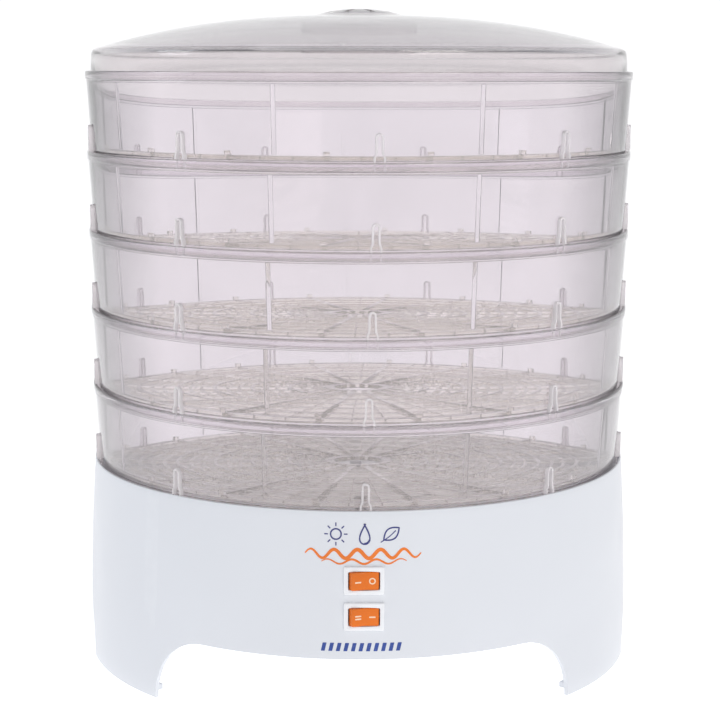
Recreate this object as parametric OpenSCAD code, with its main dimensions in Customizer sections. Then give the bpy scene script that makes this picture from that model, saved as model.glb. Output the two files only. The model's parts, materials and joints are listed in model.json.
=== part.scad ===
// Round food dehydrator: a white base with a fan heater, five clear trays and a clear lid.
// Millimetres. The table is z = 0, +Z is up and the switches face -Y.

/* [Stack] */
// Outer radius at every rim
rim_r = 155; // [152:0.5:158]
// Height that each tray adds to the stack
tray_pitch = 44; // [42:0.5:48]
// Depth of the socket inside a rim, which takes the foot of the next piece
socket_depth = 4.5; // [4:0.1:5]
// Wall left outside the socket
socket_wall = 1.9; // [1.6:0.1:2.1]
// Vertical gap between stacked pieces
stack_gap = 0.25; // [0.2:0.05:0.3]

/* [Trays] */
// Wall of a tray
tray_t = 1.8; // [1.5:0.1:2]
// Outer radius at the foot of a tray
foot_r = 152; // [151.5:0.1:152.2]
// Number of rest tabs round a tray
tab_count = 9; // [6:1:12]
// Turn of each tray against the one below it
tray_turn = 0.6; // [0:0.1:2]

/* [Lid] */
// Height of the dome's outer edge over the top rim
shoulder_h = 12; // [10:0.5:14]
// Rise of the dome from that edge to its middle
dome_rise = 19; // [16:0.5:22]
// Wall of the lid
lid_t = 2; // [1.6:0.1:2.4]
// Rise of the round vent crown in the middle
crown_rise = 3.8; // [3:0.1:4.5]

/* [Base] */
// Height of the base from the table to its rim
base_h = 116; // [114:1:118]
// How much wider the base is at the table, as a radius
base_flare = 4.7; // [4:0.1:5.5]
// Wall of the housing
shell_t = 2.5; // [2.2:0.1:2.8]
// Height of the arches between the legs
arch_h = 38; // [36:0.5:38.5]
// Half angle of an arch at the table
arch_foot_angle = 45; // [43:0.5:47]
// Half angle of the straight top of an arch
arch_top_angle = 32.5; // [30:0.5:34]

/* [Switches] */
// Width of a switch frame
switch_w = 21; // [20.5:0.1:21.5]
// Height of a switch frame
switch_h = 15; // [14.5:0.1:15.3]
// Height of the upper switch, for power
power_z = 80; // [78:0.5:81]
// Height of the lower switch, for heat
heat_z = 61; // [59:0.5:61.5]
// Tilt of a rocker from its middle position
rocker_tilt = 9; // [6:0.5:9]

/* [Fan] */
// Radius of the fan shaft
shaft_r = 2; // [1.8:0.1:2.2]
// Radius of the impeller
impeller_r = 52; // [46:1:54]
// Number of impeller blades
blade_count = 7; // [5:1:9]

/* [Hidden] */

round_fn = 96;
small_fn = 32;
cut = 0.5;                                // how far a cutter runs past a face
tray_count = 5;
stack_h = base_h + tray_count * tray_pitch;
socket_r = rim_r - socket_wall;
first_turn = 0.3;

// Tray wall
wall_top_r = rim_r - 0.7;                 // under the rim band
foot_drop = socket_depth - 0.3;           // how far a foot reaches into the socket
wall_lean = atan((wall_top_r - foot_r) / (tray_pitch - socket_depth + foot_drop));
shelf_z = 1;                              // top of the shelf that carries the sieve
shelf_w = 4;
sieve_t = 2.4;
sieve_r = foot_r - tray_t;
tab_w = 4.3;
tab_foot_w = 6.3;
tab_top = 14.6;
tab_foot_h = 3.3;
tab_r = rim_r - 0.3;
rib_w = 2.4;
spoke_count = 18;
spoke_w = 3;
hub_r = 20;
hub_hole_r = 14;
ring_count = 5;
ring_w = 2.2;

// Lid
dome_r = 150;
dome_power = 2.4;
crown_r = 26.7;
collar_r = 33;
collar_drop = 7;
vent_count = 8;

// Base
deck_t = 2.2;
deck_top = base_h - 9.8;
deck_r = 151.6;
shelf_r = 140;
cover_bottom = arch_h + 1.5;
cover_t = 2.5;
cover_top = cover_bottom + cover_t;
cover_r = 155.4;
boss_r = 5;
boss_ring = 152;
boss_h = 18;
pilot_r = 1.6;
screw_r = 1.45;
screw_head_r = 3.2;
screw_head_h = 1.8;
rim_land = 1;                             // width left on top of the rim
leg_clear = 0.8;                          // the shell stays this far above the table
pad_angle = 18;
sole_in_r = 148;
leg_angles = [-60, 60, 180];
screw_angles = [0, 60, 120, 180, 240, 300];

// Mains inlet and wiring
gland_z = 66;
gland_r = 6;
gland_bore = 3.6;
block_y = 108;                            // middle of the terminal block
block_front = block_y - 8.5;
block_back = block_y + 8.5;
wire_r = 0.9;
wire_gap = 1;                             // half the distance between paired wires
shield_window_z = 91.5;

// Switches
frame_t = 1.8;
pocket_gap = 0.15;
switch_depth = 14;
window_w = 16.4;
window_h = 10.2;
window_depth = 9.5;
rocker_end_r = 7.95;                      // pivot to the curved ends of the rocker
rocker_h = 9.6;
rocker_front = 4.2;                       // pivot to the outer end of the rocker
rocker_valley = 3.1;                      // pivot to the middle of the rocker's face
rocker_back = 2.5;
rocker_foot = 4.5;                        // half the length of its flat back
pivot_in = 1.5;                           // pivot behind the frame's back face
pivot_r = 1;
run_clear = 0.05;

// Motor, fan and heater, all round the Z axis
core_z = 48;
core_h = 18;
core_w = 60;
core_front = -22;
core_back = 46;
bore_r = 13;
rotor_r = 12.6;
window_x = 17;
window_y = 24;
coil_leg = 12;
coil_half_h = 13.5;
bracket_t = 2;
bearing_r = 4;
bearing_h = 5;
impeller_z = 77;
impeller_h = 11;
hub_wall_r = 9;
shaft_top = 91;
shield_r = 61;
shield_top = 99;
heater_z = 95;
heater_rings = [24, 36, 48];
heater_wire_r = 1.5;
post_x = 24;

function base_r(z) = rim_r + base_flare * (1 - pow(z / base_h, 2));
function dome_z(r) = shoulder_h + dome_rise * (1 - pow(r / dome_r, dome_power));
function crown_z(r) = dome_z(crown_r) + crown_rise * (1 - pow(r / crown_r, 2));
function tray_z(i) = base_h + (tray_count - i) * tray_pitch;
function turn(i) = first_turn + tray_turn * (tray_count - i);
function unit(v) = v / norm(v);
function flat(rows) = [for (row = rows) each row];

// ---------- helpers ----------

// Puts its children at an angle round the Z axis, counted from the front (-Y) towards +X.
module around(angle) rotate([0, 0, angle]) children();

module ring(r_out, r_in, h) {
    difference() {
        cylinder(r = r_out, h = h, $fn = round_fn);
        translate([0, 0, -cut]) cylinder(r = r_in, h = h + 2 * cut, $fn = round_fn);
    }
}

// A block centred on X and Y that stands on z = 0.
module block(size) translate([-size.x / 2, -size.y / 2, 0]) cube(size);

// Points of a smooth line through p: each stretch is a cubic with the neighbours' slopes.
function curve_point(p, i, t) =
    let (a = p[max(i - 1, 0)], b = p[i], c = p[i + 1], d = p[min(i + 2, len(p) - 1)])
    0.5 * (2 * b + (c - a) * t + (2 * a - 5 * b + 4 * c - d) * pow(t, 2)
        + (3 * b - a - 3 * c + d) * pow(t, 3));
function curve(p, steps = 4) = concat(
    [for (i = [0 : len(p) - 2]) for (k = [0 : steps - 1]) curve_point(p, i, k / steps)],
    [p[len(p) - 1]]
);

// A round wire along a smooth line through the points p.
module wire(p, r) {
    sides = 8;
    lean = unit([0.31, 0.47, 0.83]);
    line = curve(p);
    last = len(line) - 1;
    rings = [for (i = [0 : last])
        let (along = unit(line[min(i + 1, last)] - line[max(i - 1, 0)]))
        let (u = unit(cross(along, lean)), v = cross(along, u))
        [for (s = [0 : sides - 1]) line[i] + r * (u * cos(360 * s / sides) + v * sin(360 * s / sides))]];
    skin = [for (i = [0 : last - 1]) for (s = [0 : sides - 1])
        let (n = (s + 1) % sides)
        [i * sides + s, (i + 1) * sides + s, (i + 1) * sides + n, i * sides + n]];
    start_cap = [[for (s = [0 : sides - 1]) s]];
    end_cap = [[for (s = [sides - 1 : -1 : 0]) last * sides + s]];
    polyhedron(points = flat(rings), faces = concat(skin, start_cap, end_cap));
}

// ---------- base shell ----------

// Outline of one arch, from below the table to its flat top.
module arch_outline() {
    foot_x = base_r(0) * sin(arch_foot_angle);
    top_x = base_r(arch_h) * sin(arch_top_angle);
    steps = 10;
    side = [for (k = [0 : steps]) let (a = 90 * k / steps)
        [top_x + (foot_x - top_x) * cos(a), arch_h * sin(a)]];
    back = [for (k = [steps : -1 : 0]) [-side[k].x, side[k].y]];
    polygon(concat([[foot_x, -cut]], side, back, [[-foot_x, -cut]]));
}

module arch_cutter() {
    translate([0, -90, 0]) rotate([90, 0, 0]) linear_extrude(height = 90) arch_outline();
}

module housing_wall() {
    steps = 8;
    low = leg_clear;
    levels = [for (k = [0 : steps]) low + (base_h - 1 - low) * k / steps];
    outer = [for (z = levels) [base_r(z), z]];
    inner = [for (k = [steps : -1 : 0]) [base_r(levels[k]) - shell_t, levels[k]]];
    lip = [[rim_r - 0.1, base_h - 0.3], [rim_r - 0.4, base_h], [rim_r - shell_t, base_h]];
    rotate_extrude($fn = round_fn) polygon(concat(outer, lip, inner));
}

// Sole inside each leg, which carries its pad.
module leg_sole() {
    rotate([0, 0, -90 - pad_angle / 2 - 3]) rotate_extrude(angle = pad_angle + 6, $fn = round_fn)
        translate([sole_in_r, leg_clear + 0.2]) square([base_r(4) - 1 - sole_in_r, 3]);
}

// Flat pocket and window in the wall for one switch.
module switch_cut(z) {
    y = pocket_y(z);
    translate([-switch_w / 2 - pocket_gap, y - 6, z - switch_h / 2 - pocket_gap])
        cube([switch_w + 2 * pocket_gap, 6, switch_h + 2 * pocket_gap]);
    translate([-switch_w / 2 + 1, y - 1, z - switch_h / 2 + 1])
        cube([switch_w - 2, 8, switch_h - 2]);
}

// Plane of a switch pocket: just behind the most receding point of the wall there.
function pocket_y(z) = -(sqrt(pow(base_r(z + switch_h / 2), 2) - pow(switch_w / 2, 2)) - 0.1);

module base_housing() {
    color("#eef2f8") difference() {
        union() {
            housing_wall();
            translate([0, 0, deck_top - deck_t - 2.5]) ring(rim_r - 1, shelf_r, 2.5);
            for (a = screw_angles) around(a + 30)
                translate([0, -boss_ring, cover_top]) cylinder(r = boss_r, h = boss_h, $fn = small_fn);
            for (a = leg_angles) around(a) leg_sole();
        }
        translate([0, 0, base_h - socket_depth]) {
            cylinder(r1 = socket_r, r2 = rim_r - rim_land, h = socket_depth, $fn = round_fn);
            translate([0, 0, socket_depth]) cylinder(r = rim_r - rim_land, h = cut, $fn = round_fn);
        }
        for (a = [0, 120, 240]) around(a) arch_cutter();
        for (a = screw_angles) around(a + 30) translate([0, -boss_ring, cover_top - cut])
            cylinder(r = pilot_r, h = boss_h - 2, $fn = small_fn);
        for (a = screw_angles) around(a) translate([0, -shelf_r - 4, deck_top - 12])
            cylinder(r = pilot_r, h = 12, $fn = small_fn);
        switch_cut(power_z);
        switch_cut(heat_z);
        translate([0, rim_r, gland_z]) rotate([90, 0, 0])
            cylinder(r = gland_r + 0.1, h = 20, center = true, $fn = small_fn);
    }
}

// Air deck under the lowest tray, with rings of radial outlet slots.
module base_deck() {
    color("#e4e8ec") difference() {
        translate([0, 0, deck_top - deck_t]) cylinder(r = deck_r, h = deck_t, $fn = round_fn);
        for (k = [0 : 17]) around(20 * k) translate([0, -112, deck_top - deck_t - cut])
            block([7, 34, deck_t + 2 * cut]);
        for (k = [0 : 11]) around(30 * k) translate([0, -62, deck_top - deck_t - cut])
            block([7, 40, deck_t + 2 * cut]);
        for (a = screw_angles) around(a) translate([0, -shelf_r - 4, deck_top - deck_t - cut])
            cylinder(r = pilot_r, h = deck_t + 2 * cut, $fn = small_fn);
    }
}

module bottom_cover() {
    color("#d9dde0") difference() {
        translate([0, 0, cover_bottom]) cylinder(r = cover_r, h = cover_t, $fn = round_fn);
        for (k = [0 : 11]) around(30 * k + 15) translate([0, -42, cover_bottom - cut])
            block([6, 26, cover_t + 2 * cut]);
        for (a = screw_angles) around(a + 30) translate([0, -boss_ring, cover_bottom - cut])
            cylinder(r = pilot_r, h = cover_t + 2 * cut, $fn = small_fn);
    }
}

module foot_pad(angle) {
    color("#8f9396") around(angle) rotate([0, 0, -90 - pad_angle / 2])
        rotate_extrude(angle = pad_angle, $fn = round_fn)
            translate([sole_in_r + 1, 0]) square([6, leg_clear + 0.2]);
}

module cover_screws() {
    color("silver") for (a = screw_angles) around(a + 30) translate([0, -boss_ring, 0]) {
        translate([0, 0, cover_bottom - screw_head_h])
            cylinder(r = screw_head_r, h = screw_head_h, $fn = small_fn);
        translate([0, 0, cover_bottom - 0.2]) cylinder(r = screw_r, h = 14, $fn = small_fn);
    }
}

module deck_screws() {
    color("silver") for (a = screw_angles) around(a) translate([0, -shelf_r - 4, 0]) {
        translate([0, 0, deck_top]) cylinder(r = screw_head_r, h = screw_head_h, $fn = small_fn);
        translate([0, 0, deck_top - 9]) cylinder(r = screw_r, h = 9.2, $fn = small_fn);
    }
}

// ---------- mains inlet ----------

module cord_gland() {
    wall_y = base_r(gland_z);
    color("#f2f2f2") translate([0, wall_y, gland_z]) rotate([-90, 0, 0]) difference() {
        union() {
            translate([0, 0, -10]) cylinder(r = gland_r, h = 12, $fn = small_fn);
            translate([0, 0, 0.3]) cylinder(r = 8.5, h = 2.2, $fn = small_fn);
            translate([0, 0, -6.5]) cylinder(r = 8, h = 3.5, $fn = small_fn);
            translate([0, 0, 2]) cylinder(r1 = 6, r2 = 5, h = 4, $fn = small_fn);
        }
        translate([0, 0, -12]) cylinder(r = gland_bore, h = 22, $fn = small_fn);
    }
}

module terminal_block() {
    color("#f4f1e6") translate([0, block_y, cover_top]) difference() {
        block([36, 16, 13]);
        for (x = [-12, 0, 12]) translate([x, 0, 8]) rotate([90, 0, 0])
            cylinder(r = 2.2, h = 20, center = true, $fn = small_fn);
    }
}

// ---------- switches ----------

module switch_frame(z) {
    y = pocket_y(z);
    color("#fafafa") translate([0, y, z]) difference() {
        union() {
            translate([0, -frame_t / 2, -switch_h / 2]) block([switch_w, frame_t, switch_h]);
            translate([0, switch_depth / 2, -switch_h / 2 + 1.2])
                block([switch_w - 2.4, switch_depth, switch_h - 2.4]);
        }
        translate([0, window_depth / 2 - frame_t - cut, -window_h / 2])
            block([window_w, window_depth, window_h]);
        translate([0, pivot_in, 0])
            cylinder(r = pivot_r + run_clear, h = switch_h, center = true, $fn = small_fn);
    }
}

// Rocker: a shallow valley across its face, on a pin along Z, resting with its right end pressed in.
module rocker(z) {
    first = asin(rocker_front / rocker_end_r);
    end = [for (k = [0:5]) rocker_end_r * [cos(first * k / 5), -sin(first * k / 5)]];
    color("#ff7a1a") translate([0, pocket_y(z) + pivot_in, z]) rotate([0, 0, rocker_tilt]) {
        translate([0, 0, -rocker_h / 2]) linear_extrude(height = rocker_h) polygon([
            for (p = end) [-p[0], p[1]],
            [0, -rocker_valley],
            for (k = [len(end) - 1:-1:0]) end[k],
            [rocker_foot, rocker_back], [-rocker_foot, rocker_back]
        ]);
        cylinder(r = pivot_r, h = switch_h - 2.8, center = true, $fn = small_fn);
    }
}

module switch_terminals(z) {
    color("#c9a24a") translate([0, pocket_y(z) + switch_depth, z])
        for (x = [-6, 0, 6]) translate([x, 3.5, -2.4]) block([0.8, 7, 4.8]);
}

module neon_lamps() {
    color("#ffb070") for (z = [power_z, heat_z])
        translate([0, pocket_y(z) + 6.1, z]) rotate([0, 90, 0])
            cylinder(r = 1, h = 8, center = true, $fn = small_fn);
}

// ---------- motor ----------

module motor_core() {
    color("#8c8f94") translate([0, 0, core_z]) difference() {
        translate([0, (core_front + core_back) / 2, 0])
            block([core_w, core_back - core_front, core_h]);
        translate([0, 0, -cut]) cylinder(r = bore_r, h = core_h + 2 * cut, $fn = round_fn);
        translate([0, (window_y + core_back - coil_leg) / 2, -cut])
            block([2 * window_x, core_back - coil_leg - window_y, core_h + 2 * cut]);
        for (x = [-post_x, post_x]) translate([x, -14, -cut])
            cylinder(r = pilot_r, h = core_h + 2 * cut, $fn = small_fn);
    }
}

module coil_at() {
    translate([0, core_back - coil_leg / 2, core_z + core_h / 2]) children();
}

module coil_bobbin() {
    color("#f0ead8") coil_at() difference() {
        union() {
            translate([0, 0, -11]) block([32, 14.6, 22]);
            for (x = [-15.4, 15.4]) translate([x, 0, -coil_half_h - 0.8])
                block([1.2, 23, 2 * coil_half_h + 1.6]);
        }
        translate([0, 0, -core_h / 2 - 0.1]) block([40, coil_leg + 0.2, core_h + 0.2]);
    }
}

module motor_coil() {
    color("#b5652d") coil_at() difference() {
        translate([0, 0, -coil_half_h]) block([29, 22.4, 2 * coil_half_h]);
        translate([0, 0, -11.2]) block([40, 15, 22.4]);
    }
}

// Strap across the core with a boss for the bearing; side is -1 below the core and 1 above it.
module motor_bracket(side) {
    face = side > 0 ? core_z + core_h : core_z;
    color("#b9bcc0") difference() {
        union() {
            translate([0, 0, side > 0 ? face : face - bracket_t]) hull()
                for (x = [-post_x, post_x]) translate([x, -14, 0])
                    cylinder(r = 5, h = bracket_t, $fn = small_fn);
            translate([0, -8, side > 0 ? face : face - bracket_t]) block([22, 24, bracket_t]);
            translate([0, 0, side > 0 ? face : face - bearing_h])
                cylinder(r = 7.5, h = bearing_h, $fn = small_fn);
        }
        translate([0, 0, face - 10]) cylinder(r = bearing_r, h = 20, $fn = small_fn);
        for (x = [-post_x, post_x]) translate([x, -14, face - 10])
            cylinder(r = pilot_r, h = 20, $fn = small_fn);
    }
}

module bearing(side) {
    color("#c08a3e") translate([0, 0, side > 0 ? core_z + core_h : core_z - bearing_h]) difference() {
        cylinder(r = bearing_r, h = bearing_h, $fn = small_fn);
        translate([0, 0, -cut]) cylinder(r = shaft_r + run_clear, h = bearing_h + 2 * cut, $fn = small_fn);
    }
}

module motor_posts() {
    color("#d9dde0") for (x = [-post_x, post_x]) translate([x, -14, cover_top]) difference() {
        cylinder(r = 4, h = core_z - bracket_t - cover_top, $fn = small_fn);
        translate([0, 0, -cut]) cylinder(r = pilot_r, h = 20, $fn = small_fn);
    }
}

module motor_screws() {
    top = core_z + core_h + bracket_t;
    color("silver") for (x = [-post_x, post_x]) translate([x, -14, 0]) {
        translate([0, 0, cover_top + 0.5]) cylinder(r = screw_r, h = top - cover_top, $fn = small_fn);
        translate([0, 0, top]) cylinder(r = screw_head_r, h = 2.2, $fn = small_fn);
    }
}

module fan_shaft() {
    low = core_z - bearing_h - 0.5;
    color("#d0d3d6") translate([0, 0, low]) cylinder(r = shaft_r, h = shaft_top - low, $fn = small_fn);
}

module motor_rotor() {
    color("#6f7276") translate([0, 0, core_z + 1]) ring(rotor_r, shaft_r, core_h - 2);
}

// One pitched blade, from the hub to the tip.
module blade() {
    translate([0, -(hub_wall_r + impeller_r) / 2 + 0.5, impeller_h / 2]) rotate([0, 28, 0])
        cube([20, impeller_r - hub_wall_r - 1, 1.6], center = true);
}

module fan_impeller() {
    color("#2f3338") translate([0, 0, impeller_z]) difference() {
        union() {
            cylinder(r = hub_wall_r + 1, h = impeller_h, $fn = small_fn);
            for (k = [0 : blade_count - 1]) around(360 / blade_count * k) blade();
        }
        translate([0, 0, -cut]) cylinder(r = shaft_r, h = impeller_h + 2 * cut, $fn = small_fn);
    }
}

module fan_clip() {
    color("silver") translate([0, 0, impeller_z + impeller_h]) ring(4.5, shaft_r, 1.2);
}

// ---------- heater ----------

module heat_shield() {
    color("#c9ccd0") difference() {
        translate([0, 0, cover_top]) ring(shield_r, shield_r - 1, shield_top - cover_top);
        translate([0, shield_r, cover_top + 6]) block([14, 6, 10]);
        translate([shield_r, 0, shield_window_z - 3.5]) block([6, 14, 7]);
    }
}

// Mica cross inside a thin ring, notched for the heating wire.
module heater_frame() {
    h = 7;
    color("#cdbf9a") difference() {
        union() {
            translate([0, 0, heater_z - h / 2]) ring(57.5, 56, h);
            for (a = [0, 60, 120]) around(a) translate([0, 0, heater_z - h / 2]) block([1.2, 2 * shield_r - 2.2, h]);
        }
        for (r = heater_rings) translate([0, 0, heater_z - h / 2 - cut])
            ring(r + heater_wire_r + 0.1, r - heater_wire_r - 0.1, h / 2 + cut + heater_wire_r + 0.1);
        translate([0, 0, heater_z - h]) cylinder(r = 12, h = 2 * h, $fn = small_fn);
    }
}

module heater_coil() {
    color("#9a8f86") for (r = heater_rings) rotate_extrude($fn = round_fn)
        translate([r, heater_z]) circle(r = heater_wire_r, $fn = small_fn);
}

// Bimetal cut-out under the deck, between two of its slots.
module thermostat() {
    color("#3a3d40") around(75) translate([0, -78, deck_top - deck_t - 6]) {
        cylinder(r = 8, h = 4, $fn = small_fn);
        cylinder(r = 3, h = 6, $fn = small_fn);
        translate([0, 0, 1]) block([2.4, 22, 1.2]);
    }
}

// Fuse that lies against the outside of the heat shield.
module thermal_fuse() {
    color("#d8dade") around(110) translate([0, -shield_r - 2.05, 90]) rotate([0, 90, 0]) {
        cylinder(r = 2, h = 12, center = true, $fn = small_fn);
        cylinder(r = 0.6, h = 24, center = true, $fn = small_fn);
    }
}

// ---------- wiring held inside the base ----------

// Two conductors from the inlet to the terminal block.
module wires_mains() {
    for (side = [-1, 1]) color(side < 0 ? "#6b4a2f" : "#2d5fa8") wire([
        [side * 1.2, 150, gland_z], [side * 3, 142, gland_z - 1], [side * 8, 133, 60],
        [side * 12, 124, 52], [side * 12, block_back, 50]
    ], wire_r);
}

// Two wires from the terminal block round the left of the base, one to each switch.
module wires_switch() {
    color("#3a3d42") for (k = [0 : 1]) {
        target = k == 0 ? power_z : heat_z;
        front = pocket_y(target) + switch_depth + 7.5;
        reach = 96 + 6 * k;
        start_x = -12 + wire_gap * (1 - 2 * k);
        wire([
            [start_x, block_front, 50], [start_x - 8 - 3 * k, 90, 52 + 2 * k],
            [-60 - 3 * k, 74 + 3 * k, 55 + 2 * k], [-reach, 30, 58], [-reach, -20, 58 + 2 * k],
            [-80 - 3 * k, -84, target - 2], [-30, front + 18, target], [-6, front + 5, target],
            [-6, front, target]
        ], wire_r);
    }
}

module wires_motor() {
    for (side = [-1, 1]) color(side < 0 ? "#e8e8e8" : "#8a8d92") wire([
        [side * wire_gap, block_front, 50], [side * 2, 88, 51], [side * 4, 74, 53],
        [side * 5, shield_r, 53], [side * 5, 56, 53], [side * 5, 52.3, 54]
    ], wire_r);
}

// High-temperature wires: to the cut-out and the fuse, and from each of them to the heater.
module wires_heater() {
    color("#c8372d") {
        wire([
            [12, block_front, 50 + wire_gap], [30, 90, 58], [70, 60, 76], [92, 20, 92],
            [93, -10, 98], [88.6, -23.7, 99.6]
        ], wire_r);
        wire([
            [12, block_front, 50 - wire_gap], [24, 86, 54], [48, 62, 76], [53.5, 41, 88], [54.9, 34.4, 90]
        ], wire_r);
        wire([
            [63.8, 8.8, 90], [66, 5, 90.5], [64, 2.8, shield_window_z], [58.7, 2.2, shield_window_z]
        ], wire_r);
        wire([
            [63.6, -16.6, 99.6], [66, -9, 97], [65.5, -4, shield_window_z + 1],
            [58.7, -2.2, shield_window_z]
        ], wire_r);
    }
}

// ---------- trays ----------

module tab() {
    translate([0, -tab_r + 1.6, stack_gap]) block([tab_w, 3.2, tab_top - tab_w / 2 - stack_gap]);
    translate([0, -tab_r + 3.2, tab_top - tab_w / 2]) rotate([90, 0, 0])
        cylinder(r = tab_w / 2, h = 3.2, $fn = small_fn);
    translate([0, -tab_r + 1.6, stack_gap]) block([tab_foot_w, 3.2, tab_foot_h - stack_gap]);
    translate([0, -socket_r + 1.5, -foot_drop + 0.2])
        block([tab_foot_w, 2.4, foot_drop + stack_gap - 0.1]);
}

// Wall of a tray: rim with a socket, tapered side, shelf for the sieve and foot.
module tray_wall(i) {
    top = tray_pitch;
    low = top - socket_depth;
    color("#dfe3f0") translate([0, 0, tray_z(i)]) around(turn(i)) {
        rotate_extrude($fn = round_fn) polygon([
            [foot_r, -foot_drop], [wall_top_r, low], [rim_r, low], [rim_r, top - 0.8],
            [rim_r - 0.8, top], [socket_r, top], [socket_r, low], [socket_r - 2.1, low],
            [socket_r - 2.1, low - 1.2], [wall_top_r - tray_t, low - 1.2],
            [foot_r - tray_t + 0.3, shelf_z], [foot_r - tray_t - shelf_w, shelf_z],
            [foot_r - tray_t - shelf_w, shelf_z - 1.5], [foot_r - tray_t, shelf_z - 1.5],
            [foot_r - tray_t, -foot_drop]
        ]);
        for (k = [0 : tab_count - 1]) around(360 / tab_count * k) tab();
        for (k = [0 : tab_count - 1]) around(360 / tab_count * (k + 0.5))
            translate([0, -(foot_r - tray_t + 0.3), 0]) rotate([wall_lean, 0, 0])
                translate([0, 0, shelf_z + sieve_t + 0.4])
                    block([rib_w, tray_t, low - 1.6 - shelf_z - sieve_t]);
    }
}

// Floor of a tray: spokes and rings that let the air through.
module tray_sieve(i) {
    ring_step = (sieve_r - hub_r) / (ring_count + 1);
    color("#d6dbe8") translate([0, 0, tray_z(i) + shelf_z]) around(turn(i))
    linear_extrude(height = sieve_t) {
        difference() {
            circle(r = sieve_r, $fn = round_fn);
            circle(r = sieve_r - shelf_w - 1, $fn = round_fn);
        }
        difference() {
            union() {
                circle(r = hub_r, $fn = round_fn);
                for (k = [1 : ring_count]) difference() {
                    circle(r = hub_r + ring_step * k, $fn = round_fn);
                    circle(r = hub_r + ring_step * k - ring_w, $fn = round_fn);
                }
                for (k = [0 : spoke_count / 2 - 1]) rotate(360 / spoke_count * (k + 0.5))
                    square([spoke_w, 2 * sieve_r - 2], center = true);
            }
            circle(r = hub_hole_r, $fn = round_fn);
        }
    }
}

// ---------- lid ----------

module lid() {
    steps = 14;
    radii = [for (k = [0 : steps]) crown_r + (dome_r - 2 - crown_r) * (1 - pow(k / steps, 1.5))];
    dome = [for (r = radii) [r, dome_z(r)]];
    crown = [for (k = [1 : 4]) let (r = crown_r * (1 - k / 4)) [r, crown_z(r)]];
    outer = concat(
        [[foot_r, -foot_drop], [foot_r - 0.6, shoulder_h - 5], [dome_r + 0.6, shoulder_h - 1.6]],
        dome, crown
    );
    inner = [for (k = [len(outer) - 1 : -1 : 0]) let (p = outer[k])
        k > 2 ? [max(min(p.x, dome_r - 2.6), 0), p.y - lid_t] : [p.x - lid_t, min(p.y, shoulder_h - 4)]];
    color("#e6e9f2") translate([0, 0, stack_h]) {
        difference() {
            rotate_extrude($fn = round_fn) polygon(concat(outer, inner));
            for (k = [0 : vent_count - 1]) around(360 / vent_count * (k + 0.5))
                translate([0, -14, dome_z(crown_r) - lid_t - 2]) block([3, 10, crown_rise + lid_t + 4]);
        }
        translate([0, 0, dome_z(collar_r) - lid_t - collar_drop + 1])
            ring(collar_r, collar_r - 1.6, collar_drop);
    }
}

base_housing();
base_deck();
bottom_cover();
foot_pad(leg_angles[0]);  // foot_pad_left
foot_pad(leg_angles[1]);  // foot_pad_right
foot_pad(leg_angles[2]);  // foot_pad_back
cover_screws();
deck_screws();
cord_gland();
terminal_block();
switch_frame(power_z);  // switch_frame_power
switch_frame(heat_z);  // switch_frame_heat
switch_terminals(power_z);  // switch_terminals_power
switch_terminals(heat_z);  // switch_terminals_heat
neon_lamps();
rocker(power_z);  // rocker_power
rocker(heat_z);  // rocker_heat
motor_core();
coil_bobbin();
motor_coil();
motor_bracket(-1);  // motor_bracket_lower
motor_bracket(1);  // motor_bracket_upper
bearing(-1);  // bearing_lower
bearing(1);  // bearing_upper
motor_screws();
motor_posts();
fan_shaft();
motor_rotor();
fan_impeller();
fan_clip();
heat_shield();
heater_frame();
heater_coil();
thermostat();
thermal_fuse();
wires_mains();
wires_switch();
wires_motor();
wires_heater();
tray_wall(5);  // tray_5_wall
tray_sieve(5);  // tray_5_sieve
tray_wall(4);  // tray_4_wall
tray_sieve(4);  // tray_4_sieve
tray_wall(3);  // tray_3_wall
tray_sieve(3);  // tray_3_sieve
tray_wall(2);  // tray_2_wall
tray_sieve(2);  // tray_2_sieve
tray_wall(1);  // tray_1_wall
tray_sieve(1);  // tray_1_sieve
lid();
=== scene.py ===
"""Round food dehydrator: a white fan-heater base, five clear trays and a clear lid."""
import json
import logging
import math
from dataclasses import dataclass
from enum import Enum
from typing import Callable, Iterable, Sequence

import bmesh
import bpy
from mathutils import Matrix, Vector


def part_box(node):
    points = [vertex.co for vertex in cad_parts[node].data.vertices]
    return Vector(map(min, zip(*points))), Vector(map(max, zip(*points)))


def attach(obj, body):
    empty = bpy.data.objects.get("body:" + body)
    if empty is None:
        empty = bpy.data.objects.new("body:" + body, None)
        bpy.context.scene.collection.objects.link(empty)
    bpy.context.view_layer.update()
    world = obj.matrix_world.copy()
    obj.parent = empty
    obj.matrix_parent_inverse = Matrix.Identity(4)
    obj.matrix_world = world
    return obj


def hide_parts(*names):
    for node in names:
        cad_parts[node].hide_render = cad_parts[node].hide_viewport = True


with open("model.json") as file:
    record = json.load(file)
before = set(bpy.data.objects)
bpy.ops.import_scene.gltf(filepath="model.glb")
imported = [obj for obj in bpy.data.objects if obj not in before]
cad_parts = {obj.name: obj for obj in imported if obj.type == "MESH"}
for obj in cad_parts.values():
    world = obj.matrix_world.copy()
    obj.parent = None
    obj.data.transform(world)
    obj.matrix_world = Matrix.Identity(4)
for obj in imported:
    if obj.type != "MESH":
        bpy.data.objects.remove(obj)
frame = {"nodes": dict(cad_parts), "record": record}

logging.basicConfig(level=logging.INFO, format="%(message)s")
log = logging.getLogger("dehydrator")

Colour = tuple[float, float, float]
Outline = list[tuple[float, float]]
Rounds = float | dict[int, float] | None
Mesh = bmesh.types.BMesh
Node = bpy.types.Node
Socket = bpy.types.NodeSocket
Sockets = bpy.types.bpy_prop_collection
Feed = Socket | float | tuple  # a socket to join or a plain value

MM = 0.001
HAIR = 1e-7  # metres: two places nearer than this are one
CREASE = 32.0  # degrees: an edge bent more than this stays sharp
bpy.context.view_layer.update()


# ---------------------------------------------------------------- shop tools

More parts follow.
